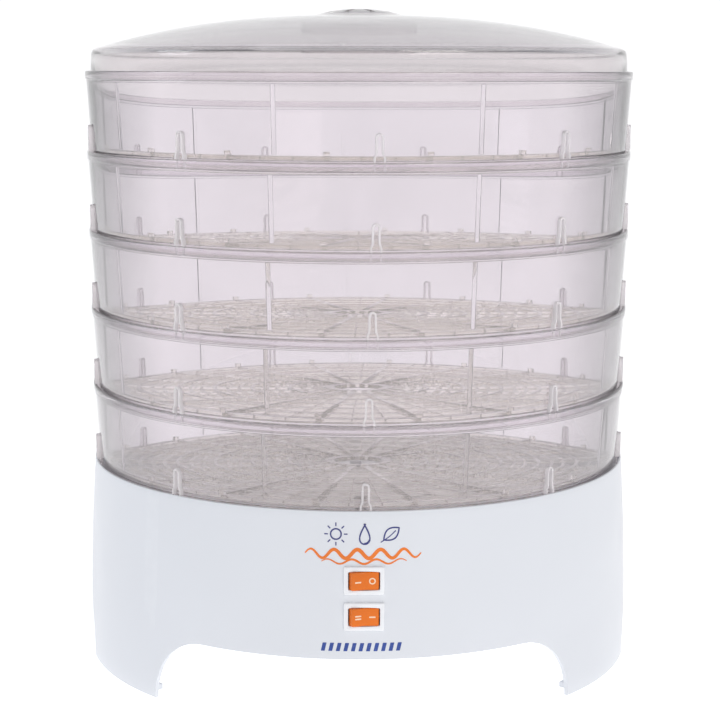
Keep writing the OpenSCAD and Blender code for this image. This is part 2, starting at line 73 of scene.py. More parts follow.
def hexed(text: str) -> Colour:
    """Linear colour of a paint-card code of six hexadecimal digits, such as eef2f8."""
    parts = [int(text[i:i + 2], 16) / 255 for i in (0, 2, 4)]
    return tuple(c / 12.92 if c <= 0.04045 else ((c + 0.055) / 1.055) ** 2.4 for c in parts)


def turn_to(angle: float) -> Matrix:
    """Turn about the upright axis, counted in degrees from the front towards the right."""
    return Matrix.Rotation(math.radians(angle), 4, "Z")


def at(x: float = 0, y: float = 0, z: float = 0) -> Matrix:
    """Move by millimetres."""
    return Matrix.Translation((x * MM, y * MM, z * MM))


def shifted(bm: Mesh, x: float = 0, y: float = 0, z: float = 0) -> Mesh:
    """The same mesh moved by millimetres."""
    bmesh.ops.translate(bm, verts=bm.verts[:], vec=(x * MM, y * MM, z * MM))
    return bm


def turned(bm: Mesh, angle: float, axis: str) -> Mesh:
    """The same mesh turned by degrees about an axis through the origin."""
    bmesh.ops.rotate(bm, verts=bm.verts[:], cent=(0, 0, 0),
                     matrix=Matrix.Rotation(math.radians(angle), 3, axis))
    return bm


def outward(bm: Mesh) -> Mesh:
    """The same mesh with its faces pointing outwards."""
    bmesh.ops.recalc_face_normals(bm, faces=bm.faces[:])
    return bm


def ease(bm: Mesh, chosen: Iterable, size: float, segments: int = 2, how: str = "EDGES") -> None:
    """Rounds chosen EDGES or VERTICES by a size in millimetres."""
    bmesh.ops.bevel(bm, geom=list(chosen), offset=size * MM, offset_type="OFFSET",
                    segments=segments, profile=0.5, affect=how, material=-1)


def front_rim(bm: Mesh, slack: float = HAIR) -> list[bmesh.types.BMEdge]:
    """The edges that lie in the front plane, y = 0."""
    return [e for e in bm.edges if all(abs(v.co.y) < slack for v in e.verts)]


def section(outline: Outline, rounds: Rounds, segments: int) -> Mesh:
    """Lays a closed outline in the upright plane as one face.

    Args:
        outline: Points across and up, in millimetres.
        rounds: Radius in millimetres of every corner, or of chosen ones by place in outline.
        segments: Flats in each rounded corner.

    Returns:
        The face.
    """
    bm = bmesh.new()
    corners = [bm.verts.new((x * MM, 0, z * MM)) for x, z in outline]
    bm.faces.new(corners)
    if isinstance(rounds, float):
        rounds = dict.fromkeys(range(len(corners)), rounds)
    by_size: dict[float, list] = {}
    for place, size in (rounds or {}).items():
        by_size.setdefault(size, []).append(corners[place])
    for size, chosen in by_size.items():
        ease(bm, chosen, size, segments, "VERTICES")
    return bm


def lathe(outline: Outline, steps: int, rounds: Rounds = None, segments: int = 3) -> Mesh:
    """Turns a closed outline of (radius, height) points about the upright axis.

    Args:
        outline: The section in millimetres.
        steps: How many flats the full turn has.
        rounds: Corner radii, as section takes them.
        segments: Flats in each rounded corner.

    Returns:
        The turned solid.
    """
    bm = section(outline, rounds, segments)
    bmesh.ops.delete(bm, geom=bm.faces[:], context="FACES_ONLY")
    on_axis = [e for e in bm.edges if all(v.co.x < HAIR for v in e.verts)]
    bmesh.ops.delete(bm, geom=on_axis, context="EDGES")
    bmesh.ops.spin(bm, geom=bm.verts[:] + bm.edges[:], cent=(0, 0, 0), axis=(0, 0, 1),
                   angle=math.tau, steps=steps, use_merge=True)
    bmesh.ops.remove_doubles(bm, verts=bm.verts[:], dist=1e-6)
    return outward(bm)


def thicken(bm: Mesh, depth: float) -> Mesh:
    """Gives a flat mesh a depth in millimetres towards the back.

    Args:
        bm: The mesh.
        depth: The depth in millimetres.

    Returns:
        The same mesh, now closed.
    """
    grown = bmesh.ops.extrude_face_region(bm, geom=bm.faces[:])["geom"]
    moved = [g for g in grown if isinstance(g, bmesh.types.BMVert)]
    bmesh.ops.translate(bm, verts=moved, vec=(0, depth * MM, 0))
    return outward(bm)


def plate(outline: Outline, depth: float, rounds: Rounds = None, edge: float = 0.0) -> Mesh:
    """Cuts a flat plate of (x, z) points; it lies from y = 0 to y = depth.

    Args:
        outline: The plate seen from the front, in millimetres.
        depth: Its thickness in millimetres.
        rounds: Corner radii, as section takes them.
        edge: Size of the rounding along its front edges, in millimetres.

    Returns:
        The plate.
    """
    bm = thicken(section(outline, rounds, 4), depth)
    if edge:
        ease(bm, front_rim(bm), edge)
    return bm


def brick(size: Sequence[float], edge: float = 0.0) -> Mesh:
    """Makes a block centred on its own middle.

    Args:
        size: Width, depth and height in millimetres.
        edge: Size of its eased edges in millimetres.

    Returns:
        The block.
    """
    bm = bmesh.new()
    bmesh.ops.create_cube(bm, size=1)
    bmesh.ops.scale(bm, verts=bm.verts[:], vec=[s * MM for s in size])
    if edge:
        ease(bm, bm.edges[:], edge)
    return bm


def stored(name: str, bm: Mesh) -> bpy.types.Mesh:
    """Stores a mesh under a name and frees it.

    Args:
        name: Its name.
        bm: The mesh.

    Returns:
        The stored mesh.
    """
    mesh = bpy.data.meshes.new(name)
    bm.to_mesh(mesh)
    bm.free()
    return mesh


def placed(name: str, data: bpy.types.ID) -> bpy.types.Object:
    """Puts an object with this data in the scene, at the origin.

    Args:
        name: Its name.
        data: What the object holds.

    Returns:
        The object.
    """
    obj = bpy.data.objects.new(name, data)
    bpy.context.scene.collection.objects.link(obj)
    return obj


def gather(into: Mesh, part: Mesh, places: Iterable[Matrix] = (Matrix.Identity(4),)) -> Mesh:
    """Adds copies of a part to a mesh and frees the part.

    Args:
        into: The mesh that grows.
        part: What is copied.
        places: Where each copy goes.

    Returns:
        The mesh that grew.
    """
    pattern = stored("pattern", part)
    for place in places:
        copy = pattern.copy()
        copy.transform(place)
        into.from_mesh(copy)
        bpy.data.meshes.remove(copy)
    bpy.data.meshes.remove(pattern)
    return into


def fuse(first: Mesh, second: Mesh, how: str) -> Mesh:
    """Joins two closed meshes, or cuts the second out of the first.

    Args:
        first: The mesh that is kept.
        second: The mesh that is joined or taken away.
        how: UNION or DIFFERENCE.

    Returns:
        The combined mesh. Both meshes given are freed.
    """
    made = [placed(name, stored(name, bm)) for name, bm in (("first", first), ("second", second))]
    step = made[0].modifiers.new("fuse", "BOOLEAN")
    step.operation = how
    step.solver = "EXACT"
    step.object = made[1]
    result = bmesh.new()
    result.from_object(made[0], bpy.context.evaluated_depsgraph_get())
    for obj in made:
        mesh = obj.data
        bpy.data.objects.remove(obj)
        bpy.data.meshes.remove(mesh)
    return result


def piece(name: str, bm: Mesh, body: str, finish: "Finish",
          stands_for: Sequence[str] = ()) -> None:
    """Turns a mesh into a finished piece that rides on a body.

    Args:
        name: Name of the piece.
        bm: Its mesh, in place. It is freed.
        body: The body that carries it.
        finish: What it is made of.
        stands_for: CAD nodes that it replaces.
    """
    mesh = stored(name, bm)
    mesh.polygons.foreach_set("use_smooth", [True] * len(mesh.polygons))
    mesh.set_sharp_from_angle(angle=math.radians(CREASE))
    mesh.materials.append(finish.material())
    obj = placed(name, mesh)
    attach(obj, body)
    if stands_for:
        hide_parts(*stands_for)
    log.info("made %s on %s: %d faces", name, body, len(mesh.polygons))


# ---------------------------------------------------------------- shared surface effects

class Board:
    """A node tree with short ways to place and join nodes."""

    def __init__(self, tree: bpy.types.NodeTree) -> None:
        """Starts on an empty tree."""
        self.tree = tree
        tree.nodes.clear()

    def add(self, kind: str, settings: dict | None = None, **values: Feed) -> Node:
        """Places a node.

        Args:
            kind: The node's type without its ShaderNode prefix.
            settings: Properties of the node itself.
            values: Input sockets by name, with _ for a space: a socket to join or a plain value.

        Returns:
            The node.
        """
        node = self.tree.nodes.new("ShaderNode" + kind)
        for key, value in (settings or {}).items():
            setattr(node, key, value)
        for key, value in values.items():
            self.join(value, node.inputs[key.replace("_", " ")])
        return node

    def join(self, value: Feed, socket: Socket) -> None:
        """Joins a socket to an input, or sets the input to a plain value."""
        if isinstance(value, Socket):
            self.tree.links.new(value, socket)
        else:
            socket.default_value = value

    def fill(self, node: Node, places: Iterable[int], values: Iterable) -> Node:
        """Joins values to a node's inputs by their places."""
        for place, value in zip(places, values):
            self.join(value, node.inputs[place])
        return node

    def sum(self, how: str, *terms: Feed) -> Socket:
        """A math node's result, clamped to no range."""
        node = self.add("Math", {"operation": how})
        return self.fill(node, range(len(terms)), terms).outputs[0]

    def span(self, value: Feed, low: float, high: float, to_low: Feed = 0.0,
             to_high: Feed = 1.0) -> Socket:
        """A value stretched from one range to another, and held inside it."""
        return self.add("MapRange", {"clamp": True}, Value=value, From_Min=low, From_Max=high,
                        To_Min=to_low, To_Max=to_high).outputs["Result"]

    def tint(self, share: Feed, first: Feed, second: Feed, how: str = "MIX") -> Socket:
        """Two colours mixed by a share."""
        node = self.add("Mix", {"data_type": "RGBA", "blend_type": how})
        return self.fill(node, (0, 6, 7), (share, first, second)).outputs[2]

    def noise(self, place: Socket, scale: Feed, detail: float, **values: Feed) -> Socket:
        """A noise pattern of a fineness and detail."""
        return self.add("TexNoise", Vector=place, Scale=scale, Detail=detail,
                        **values).outputs["Fac"]


class Effect(Enum):
    """Surface effects that several finishes share, each one node group."""

    GRAIN = "moulding_grain"
    FLOW = "moulding_flow"
    WEAR = "edge_wear"
    DUST = "settled_dust"
    BRUSH = "brushed_lines"


class EffectShelf:
    """Builds each shared effect once and hands it out."""

    INPUTS = {
        Effect.GRAIN: {"Scale": 900.0, "Roughness Low": 0.3, "Roughness High": 0.4},
        Effect.FLOW: {"Scale": 9.0, "Spread": 0.1},
        Effect.WEAR: {"Amount": 0.5, "Scale": 120.0},
        Effect.DUST: {"Amount": 0.2, "Scale": 60.0},
        Effect.BRUSH: {"Scale": 300.0, "Stretch": 0.04},
    }
    OUTPUTS = {Effect.GRAIN: ("Height", "Roughness"), Effect.FLOW: ("Tone", "Height"),
               Effect.WEAR: ("Mask",), Effect.DUST: ("Mask",),
               Effect.BRUSH: ("Height", "Roughness")}

    @classmethod
    def get(cls, effect: Effect) -> bpy.types.NodeTree:
        """The effect's node group, built at its first use."""
        return bpy.data.node_groups.get(effect.value) or cls.build(effect)

    @classmethod
    def build(cls, effect: Effect) -> bpy.types.NodeTree:
        """Builds one effect.

        Args:
            effect: Which effect.

        Returns:
            Its node group.
        """
        tree = bpy.data.node_groups.new(effect.value, "ShaderNodeTree")
        board = Board(tree)
        for name, value in cls.INPUTS[effect].items():
            socket = tree.interface.new_socket(name=name, in_out="INPUT",
                                               socket_type="NodeSocketFloat")
            socket.default_value = value
        for name in cls.OUTPUTS[effect]:
            tree.interface.new_socket(name=name, in_out="OUTPUT", socket_type="NodeSocketFloat")
        given = tree.nodes.new("NodeGroupInput").outputs
        result = tree.nodes.new("NodeGroupOutput").inputs
        place = board.add("TexCoord").outputs["Object"]
        maker = {Effect.GRAIN: cls.grain, Effect.FLOW: cls.flow, Effect.WEAR: cls.wear,
                 Effect.DUST: cls.dust, Effect.BRUSH: cls.brush}[effect]
        for name, value in maker(board, given, place).items():
            board.join(value, result[name])
        return tree

    @staticmethod
    def grain(board: Board, given: Sockets, place: Socket) -> dict[str, Socket]:
        """Fine spark-eroded grain of a moulded skin.

        Args:
            board: The board that the nodes go on.
            given: The group's input sockets.
            place: Object coordinates.

        Returns:
            The group's outputs by name.
        """
        fine = board.noise(place, given["Scale"], 3.0, Roughness=0.6)
        broad = board.noise(place, 45.0, 2.0)
        rough = board.span(broad, 0.3, 0.7, given["Roughness Low"], given["Roughness High"])
        return {"Height": fine, "Roughness": rough}

    @staticmethod
    def flow(board: Board, given: Sockets, place: Socket) -> dict[str, Socket]:
        """Slow tone change and waviness where the plastic flowed into the mould.

        Args:
            board: The board that the nodes go on.
            given: The group's input sockets.
            place: Object coordinates.

        Returns:
            The group's outputs by name.
        """
        slow = board.noise(place, given["Scale"], 2.0, Distortion=0.6)
        low = board.sum("SUBTRACT", 1.0, given["Spread"])
        return {"Tone": board.span(slow, 0.3, 0.7, low), "Height": slow}

    @staticmethod
    def wear(board: Board, given: Sockets, place: Socket) -> dict[str, Socket]:
        """Rubbed and lightened edges, broken up by a fine noise.

        Args:
            board: The board that the nodes go on.
            given: The group's input sockets.
            place: Object coordinates.

        Returns:
            The group's outputs by name.
        """
        edge = board.span(board.add("NewGeometry").outputs["Pointiness"], 0.505, 0.56)
        patch = board.noise(place, given["Scale"], 4.0)
        rubbed = board.sum("MULTIPLY", edge, board.span(patch, 0.35, 0.65, 0.2))
        return {"Mask": board.sum("MULTIPLY", rubbed, given["Amount"])}

    @staticmethod
    def dust(board: Board, given: Sockets, place: Socket) -> dict[str, Socket]:
        """Fine dust on faces that look up.

        Args:
            board: The board that the nodes go on.
            given: The group's input sockets.
            place: Object coordinates.

        Returns:
            The group's outputs by name.
        """
        facing = board.add("SeparateXYZ", Vector=board.add("NewGeometry").outputs["Normal"])
        level = board.span(facing.outputs["Z"], 0.5, 1.0)
        speck = board.span(board.noise(place, given["Scale"], 6.0), 0.45, 0.7)
        laid = board.sum("MULTIPLY", level, speck)
        return {"Mask": board.sum("MULTIPLY", laid, given["Amount"])}

    @staticmethod
    def brush(board: Board, given: Sockets, place: Socket) -> dict[str, Socket]:
        """Drawn or rolled lines of sheet and bar metal.

        Args:
            board: The board that the nodes go on.
            given: The group's input sockets.
            place: Object coordinates.

        Returns:
            The group's outputs by name.
        """
        stretch = board.add("CombineXYZ", X=given["Stretch"], Y=1.0, Z=1.0).outputs[0]
        along = board.add("VectorMath", {"operation": "MULTIPLY"})
        board.fill(along, (0, 1), (place, stretch))
        lines = board.noise(along.outputs[0], given["Scale"], 4.0)
        return {"Height": lines, "Roughness": board.span(lines, 0.3, 0.7)}


# ---------------------------------------------------------------- finishes

@dataclass(frozen=True)
class Finish:
    """A surface finish, made into a material once for each name.

    Attributes:
        name: Name of the finish.
        colour: Its main colour, linear.
    """

    name: str
    colour: Colour

    def material(self) -> bpy.types.Material:
        """The material of this finish, built at its first use.

        Returns:
            The material.
        """
        label = "finish_" + self.name
        found = bpy.data.materials.get(label)
        if found:
            return found
        made = bpy.data.materials.new(label)
        made.use_nodes = True
        made.diffuse_color = (*self.colour, 1)
        board = Board(made.node_tree)
        output = board.add("OutputMaterial")
        shader = board.add("BsdfPrincipled")
        shader.inputs["Base Color"].default_value = (*self.colour, 1)
        last = self.dress(board, shader) or shader.outputs[0]
        board.join(last, output.inputs["Surface"])
        return made

    def dress(self, board: Board, shader: Node) -> Socket | None:
        """Adds what this kind of finish shows, and gives its last shader if it adds one."""
        raise NotImplementedError

    @staticmethod
    def settle(node: Node, **values: float | tuple) -> None:
        """Sets plain values on a node's own sockets, with _ for a space in their names."""
        for key, value in values.items():
            node.inputs[key.replace("_", " ")].default_value = value

    def effect(self, board: Board, effect: Effect, **values: float) -> Sockets:
        """Places a shared effect and returns its outputs.

        Args:
            board: The board that the nodes go on.
            effect: Which effect.
            values: Its inputs by name, with _ for a space.

        Returns:
            The effect's output sockets.
        """
        node = board.add("Group")
        node.node_tree = EffectShelf.get(effect)
        self.settle(node, **values)
        return node.outputs

    def skin(self, board: Board, shader: Node, colour: Feed, rough: Feed,
             height: Socket | None = None, depth: float = 0.0) -> None:
        """Feeds the shader what changes over the surface.

        Args:
            board: The material's board.
            shader: The shader.
            colour: Its colour.
            rough: Its roughness.
            height: Relief from 0 to 1.
            depth: Depth of that relief in millimetres.
        """
        board.join(colour, shader.inputs["Base Color"])
        board.join(rough, shader.inputs["Roughness"])
        if height is not None:
            relief = board.add("Bump", Strength=1.0, Distance=depth * MM, Height=height)
            board.join(relief.outputs["Normal"], shader.inputs["Normal"])

    def toned(self, board: Board, tone: Socket) -> Socket:
        """The colour darkened by a tone that changes over the surface."""
        grey = board.add("CombineColor", Red=tone, Green=tone, Blue=tone)
        return board.tint(1.0, (*self.colour, 1), grey.outputs[0], "MULTIPLY")


@dataclass(frozen=True)
class Moulded(Finish):
    """Opaque moulded plastic with a fine grain.

    Attributes:
        smooth: Roughness of the glossiest patches.
        matt: Roughness of the dullest patches.
        grain: Depth of the grain in millimetres.
        grain_scale: Fineness of the grain.
        spread: How far the tone changes over the piece.
        rubbed: Share of lightening along edges.
        dusty: Share of dust on level faces.
        coat: Weight of the gloss over the colour.
        glow: Share of light that passes under the skin.
        specular: Strength of the skin's own reflection.
    """

    smooth: float = 0.3
    matt: float = 0.4
    grain: float = 0.01
    grain_scale: float = 900.0
    spread: float = 0.04
    rubbed: float = 0.2
    dusty: float = 0.05
    coat: float = 0.0
    glow: float = 0.0
    specular: float = 0.5

    def dress(self, board: Board, shader: Node) -> None:
        """Adds grain, flow tone, edge wear and dust.

        Args:
            board: The board that the nodes go on.
            shader: The shader that they feed.
        """
        grain = self.effect(board, Effect.GRAIN, Scale=self.grain_scale,
                            Roughness_Low=self.smooth, Roughness_High=self.matt)
        flow = self.effect(board, Effect.FLOW, Scale=9.0, Spread=self.spread)
        wear = self.effect(board, Effect.WEAR, Amount=self.rubbed, Scale=150.0)
        dust = self.effect(board, Effect.DUST, Amount=self.dusty, Scale=80.0)
        light = tuple(min(1.0, c * 1.25 + 0.04) for c in self.colour)
        base = board.tint(wear["Mask"], self.toned(board, flow["Tone"]), (*light, 1))
        base = board.tint(dust["Mask"], base, (0.45, 0.43, 0.40, 1))
        rough = board.sum("ADD", grain["Roughness"], board.sum("MULTIPLY", dust["Mask"], 0.3))
        self.skin(board, shader, base, rough, grain["Height"], self.grain)
        self.settle(shader, IOR=1.5, Specular_IOR_Level=self.specular, Coat_Weight=self.coat,
                    Coat_Roughness=0.08)
        if self.glow:
            self.settle(shader, Subsurface_Weight=self.glow, Subsurface_Scale=1.0,
                        Subsurface_Radius=(0.002, 0.002, 0.002))


@dataclass(frozen=True)
class ClearMoulding(Finish):
    """Clear moulded plastic that light from lamps passes through.

    Attributes:
        smooth: Roughness of the clearest patches.
        matt: Roughness of the haziest patches.
        index: Refractive index.
        wave: Depth of the flow waves in millimetres.
        wave_scale: Fineness of the flow waves.
        shade: Colour of what passes to lamps.
        haze: Share of light that the plastic scatters.
        edge: How much darker the plastic looks where it is seen along its length; this is painted
            shade, a darker colour set by view angle.
    """

    smooth: float = 0.0
    matt: float = 0.03
    index: float = 1.5
    wave: float = 0.03
    wave_scale: float = 18.0
    shade: Colour = (0.97, 0.965, 0.97)
    haze: float = 0.05
    edge: float = 0.0

    def dress(self, board: Board, shader: Node) -> Socket:
        """Adds flow waves, haze, painted shade where the plastic is seen edge-on, and the clear way
        for lamps.

        Args:
            board: The board that the nodes go on.
            shader: The shader that they feed.

        Returns:
            The last shader.
        """
        flow = self.effect(board, Effect.FLOW, Scale=self.wave_scale, Spread=0.04)
        grain = self.effect(board, Effect.GRAIN, Scale=400.0, Roughness_Low=self.smooth,
                            Roughness_High=self.matt)
        body = self.toned(board, flow["Tone"])
        # Painted shade: the colour is darkened by view angle where the surface is seen edge-on,
        # standing in for light passing along the plastic.
        if self.edge:
            along = board.add("LayerWeight", Blend=0.5).outputs["Facing"]
            edge_shade_colour = tuple(c * (1 - self.edge) for c in self.colour)
            body = board.tint(board.span(along, 0.35, 0.85), body, (*edge_shade_colour, 1))
        self.skin(board, shader, body, grain["Roughness"], flow["Height"], self.wave)
        self.settle(shader, IOR=self.index, Transmission_Weight=1.0 - self.haze)
        clear = board.add("BsdfTransparent", Color=(*self.shade, 1))
        rays = board.add("LightPath")
        mixed = board.add("MixShader", Fac=rays.outputs["Is Shadow Ray"])
        return board.fill(mixed, (1, 2), (shader.outputs[0], clear.outputs[0])).outputs[0]


@dataclass(frozen=True)
class Metal(Finish):
    """Bare or plated metal with drawn lines.

    Attributes:
        smooth: Lowest roughness.
        matt: Highest roughness.
        stretch: How long the drawn lines are along X.
        stain: Colour that heat or handling leaves.
        stained: Share of that colour.
    """

    smooth: float = 0.2
    matt: float = 0.35
    stretch: float = 0.05
    stain: Colour = (0.12, 0.10, 0.09)
    stained: float = 0.25

    def dress(self, board: Board, shader: Node) -> None:
        """Adds drawn lines, stains and rubbed edges.

        Args:
            board: The board that the nodes go on.
            shader: The shader that they feed.
        """
        lines = self.effect(board, Effect.BRUSH, Scale=420.0, Stretch=self.stretch)
        flow = self.effect(board, Effect.FLOW, Scale=35.0, Spread=0.2)
        wear = self.effect(board, Effect.WEAR, Amount=0.5, Scale=200.0)
        share = board.span(flow["Height"], 0.45, 0.75, 0.0, self.stained)
        base = board.tint(share, self.toned(board, flow["Tone"]), (*self.stain, 1))
        light = tuple(min(1.0, c * 1.3) for c in self.colour)
        self.skin(board, shader, board.tint(wear["Mask"], base, (*light, 1)),
                  board.span(lines["Roughness"], 0.0, 1.0, self.smooth, self.matt),
                  lines["Height"], 0.01)
        self.settle(shader, Metallic=1.0)


@dataclass(frozen=True)
class Striped(Finish):
    """Material built of fine parallel layers: windings, laminations or mica sheet.

    Attributes:
        metallic: Metal share.
        pitch: Distance between layers in millimetres.
        axis: Direction across the layers.
        depth: Depth of the grooves in millimetres.
        groove: Colour in the grooves.
        rough: Roughness of the crests.
    """

    metallic: float = 1.0
    pitch: float = 0.5
    axis: str = "Z"
    depth: float = 0.1
    groove: Colour = (0.1, 0.1, 0.1)
    rough: float = 0.35

    def dress(self, board: Board, shader: Node) -> None:
        """Adds the layers and a worn tone.

        Args:
            board: The board that the nodes go on.
            shader: The shader that they feed.
        """
        waves = board.add("TexWave", {"wave_type": "BANDS", "bands_direction": self.axis},
                          Vector=board.add("TexCoord").outputs["Object"],
                          Scale=0.314 / (self.pitch * MM * 2), Distortion=0.4,
                          Detail=1.0).outputs["Fac"]
        flow = self.effect(board, Effect.FLOW, Scale=50.0, Spread=0.25)
        self.skin(board, shader,
                  board.tint(waves, (*self.groove, 1), self.toned(board, flow["Tone"])),
                  board.span(waves, 0.0, 1.0, min(1.0, self.rough + 0.3), self.rough),
                  waves, self.depth)
        self.settle(shader, Metallic=self.metallic)


@dataclass(frozen=True)
class Ink(Finish):
    """Pad-printed ink: a thin, slightly uneven film."""

    def dress(self, board: Board, shader: Node) -> None:
        """Adds thin spots and a soft sheen.

        Args:
            board: The board that the nodes go on.
            shader: The shader that they feed.
        """
        grain = self.effect(board, Effect.GRAIN, Scale=1500.0, Roughness_Low=0.35,
                            Roughness_High=0.5)
        flow = self.effect(board, Effect.FLOW, Scale=60.0, Spread=0.12)
        thin = board.span(grain["Height"], 0.62, 0.75, 0.0, 0.18)
        base = board.tint(thin, self.toned(board, flow["Tone"]), (0.86, 0.88, 0.93, 1))
        self.skin(board, shader, base, grain["Roughness"], grain["Height"], 0.008)


@dataclass(frozen=True)
class Lamp(Finish):
    """Small neon lamp behind a tinted glass."""

    def dress(self, board: Board, shader: Node) -> None:
        """Adds a mottled glass that is unlit.

        Args:
            board: The board that the nodes go on.
            shader: The shader that they feed.
        """
        flow = self.effect(board, Effect.FLOW, Scale=300.0, Spread=0.3)
        self.skin(board, shader, self.toned(board, flow["Tone"]),
                  board.span(flow["Height"], 0.3, 0.7, 0.05, 0.15))
        self.settle(shader, Coat_Weight=0.6)


@dataclass(frozen=True)
class Paper(Finish):
    """Matt studio paper, lit a little from within so that shadows stay pale."""

    def dress(self, board: Board, shader: Node) -> None:
        """Adds a faint tone and the inner light.

        Args:
            board: The board that the nodes go on.
            shader: The shader that they feed.
        """
        flow = self.effect(board, Effect.FLOW, Scale=3.0, Spread=0.01)
        self.skin(board, shader, self.toned(board, flow["Tone"]), 0.9)
        self.settle(shader, Specular_IOR_Level=0.1, Emission_Color=(1, 1, 1, 1),
                    Emission_Strength=0.8)


HOUSING = Moulded("housing_white", hexed("dee1e7"), matt=0.38, grain=0.012, spread=0.03,
                  rubbed=0.1, dusty=0.02)
# TRAY and LID paint shade into their colour where they are seen edge-on (edge).
TRAY = ClearMoulding("tray_clear", (0.87, 0.835, 0.865), edge=0.62)
TAB = ClearMoulding("tab_clear", (0.96, 0.94, 0.955), smooth=0.02, matt=0.08, haze=0.4)
SIEVE = ClearMoulding("sieve_clear", (0.985, 0.965, 0.93), smooth=0.03, matt=0.12, index=1.45,
                      wave=0.05, wave_scale=60.0, shade=(0.98, 0.975, 0.97), haze=0.07)
LID = ClearMoulding("lid_clear", (0.86, 0.83, 0.84), wave_scale=10.0, haze=0.03, edge=0.2)
BEZEL = Moulded("switch_white", hexed("eceef2"), smooth=0.2, matt=0.28, grain=0.004, coat=0.2)
ROCKER = Moulded("rocker_orange", (0.80, 0.175, 0.010), smooth=0.15, matt=0.24, grain=0.003,
                 spread=0.2, rubbed=0.15, specular=0.3)
MARK = Ink("mark_pale", (0.95, 0.72, 0.52))
NAVY_INK = Ink("print_navy", hexed("34387e"))
BLUE_INK = Ink("print_blue", hexed("2b4a9b"))
ORANGE_INK = Ink("print_orange", hexed("f07c1e"))

# Finish of each CAD node that keeps its own shape, by its material slot.
SLOT_FINISHES: dict[str, Finish] = {
    "white_housing": HOUSING,
    "grey_cover": Moulded("inner_grey", hexed("dcdee0"), smooth=0.4, matt=0.52, grain=0.02),
    "pad_rubber": Moulded("pad_rubber", (0.16, 0.165, 0.17), smooth=0.65, matt=0.85, grain=0.05,
                          grain_scale=500.0, spread=0.2, dusty=0.2),
    "screw_steel": Metal("screw_steel", (0.62, 0.62, 0.64)),
    "core_steel": Striped("core_steel", (0.36, 0.37, 0.39), depth=0.06,
                          groove=(0.08, 0.075, 0.07), rough=0.4),
    "bracket_steel": Metal("bracket_steel", (0.60, 0.60, 0.60), smooth=0.28, matt=0.45),
    "shield_steel": Metal("shield_steel", (0.66, 0.66, 0.67), smooth=0.16, matt=0.3,
                          stain=(0.42, 0.33, 0.2), stained=0.5),
    "bronze_bush": Metal("bronze_bush", (0.55, 0.33, 0.14), smooth=0.3, matt=0.45, stretch=1.0),
    "copper_winding": Striped("copper_winding", (0.62, 0.22, 0.08), pitch=0.45, axis="Y",
                              depth=0.15, groove=(0.12, 0.03, 0.01), rough=0.22),
    "bobbin_nylon": Moulded("bobbin_nylon", hexed("efe9d6"), smooth=0.35, matt=0.5, glow=0.2),
    "fan_black": Moulded("fan_black", (0.035, 0.038, 0.042), smooth=0.35, matt=0.5, dusty=0.35),
    "mica": Striped("mica", (0.46, 0.38, 0.24), metallic=0.1, pitch=0.35, depth=0.05,
                    groove=(0.2, 0.15, 0.08), rough=0.3),
    "heater_wire": Striped("heater_wire", (0.40, 0.35, 0.31), pitch=0.4, axis="DIAGONAL",
                           depth=0.2, groove=(0.1, 0.07, 0.05), rough=0.4),
    "contact_brass": Metal("contact_brass", (0.66, 0.46, 0.15)),
    "neon_glass": Lamp("neon_glass", (0.80, 0.32, 0.12)),
    "control_dark": Moulded("control_dark", (0.045, 0.046, 0.05), matt=0.45),
    "wire_sleeve": Moulded("wire_sleeve", (0.20, 0.035, 0.03), smooth=0.4, matt=0.55,
                           grain=0.02, spread=0.3),
}


# ---------------------------------------------------------------- base

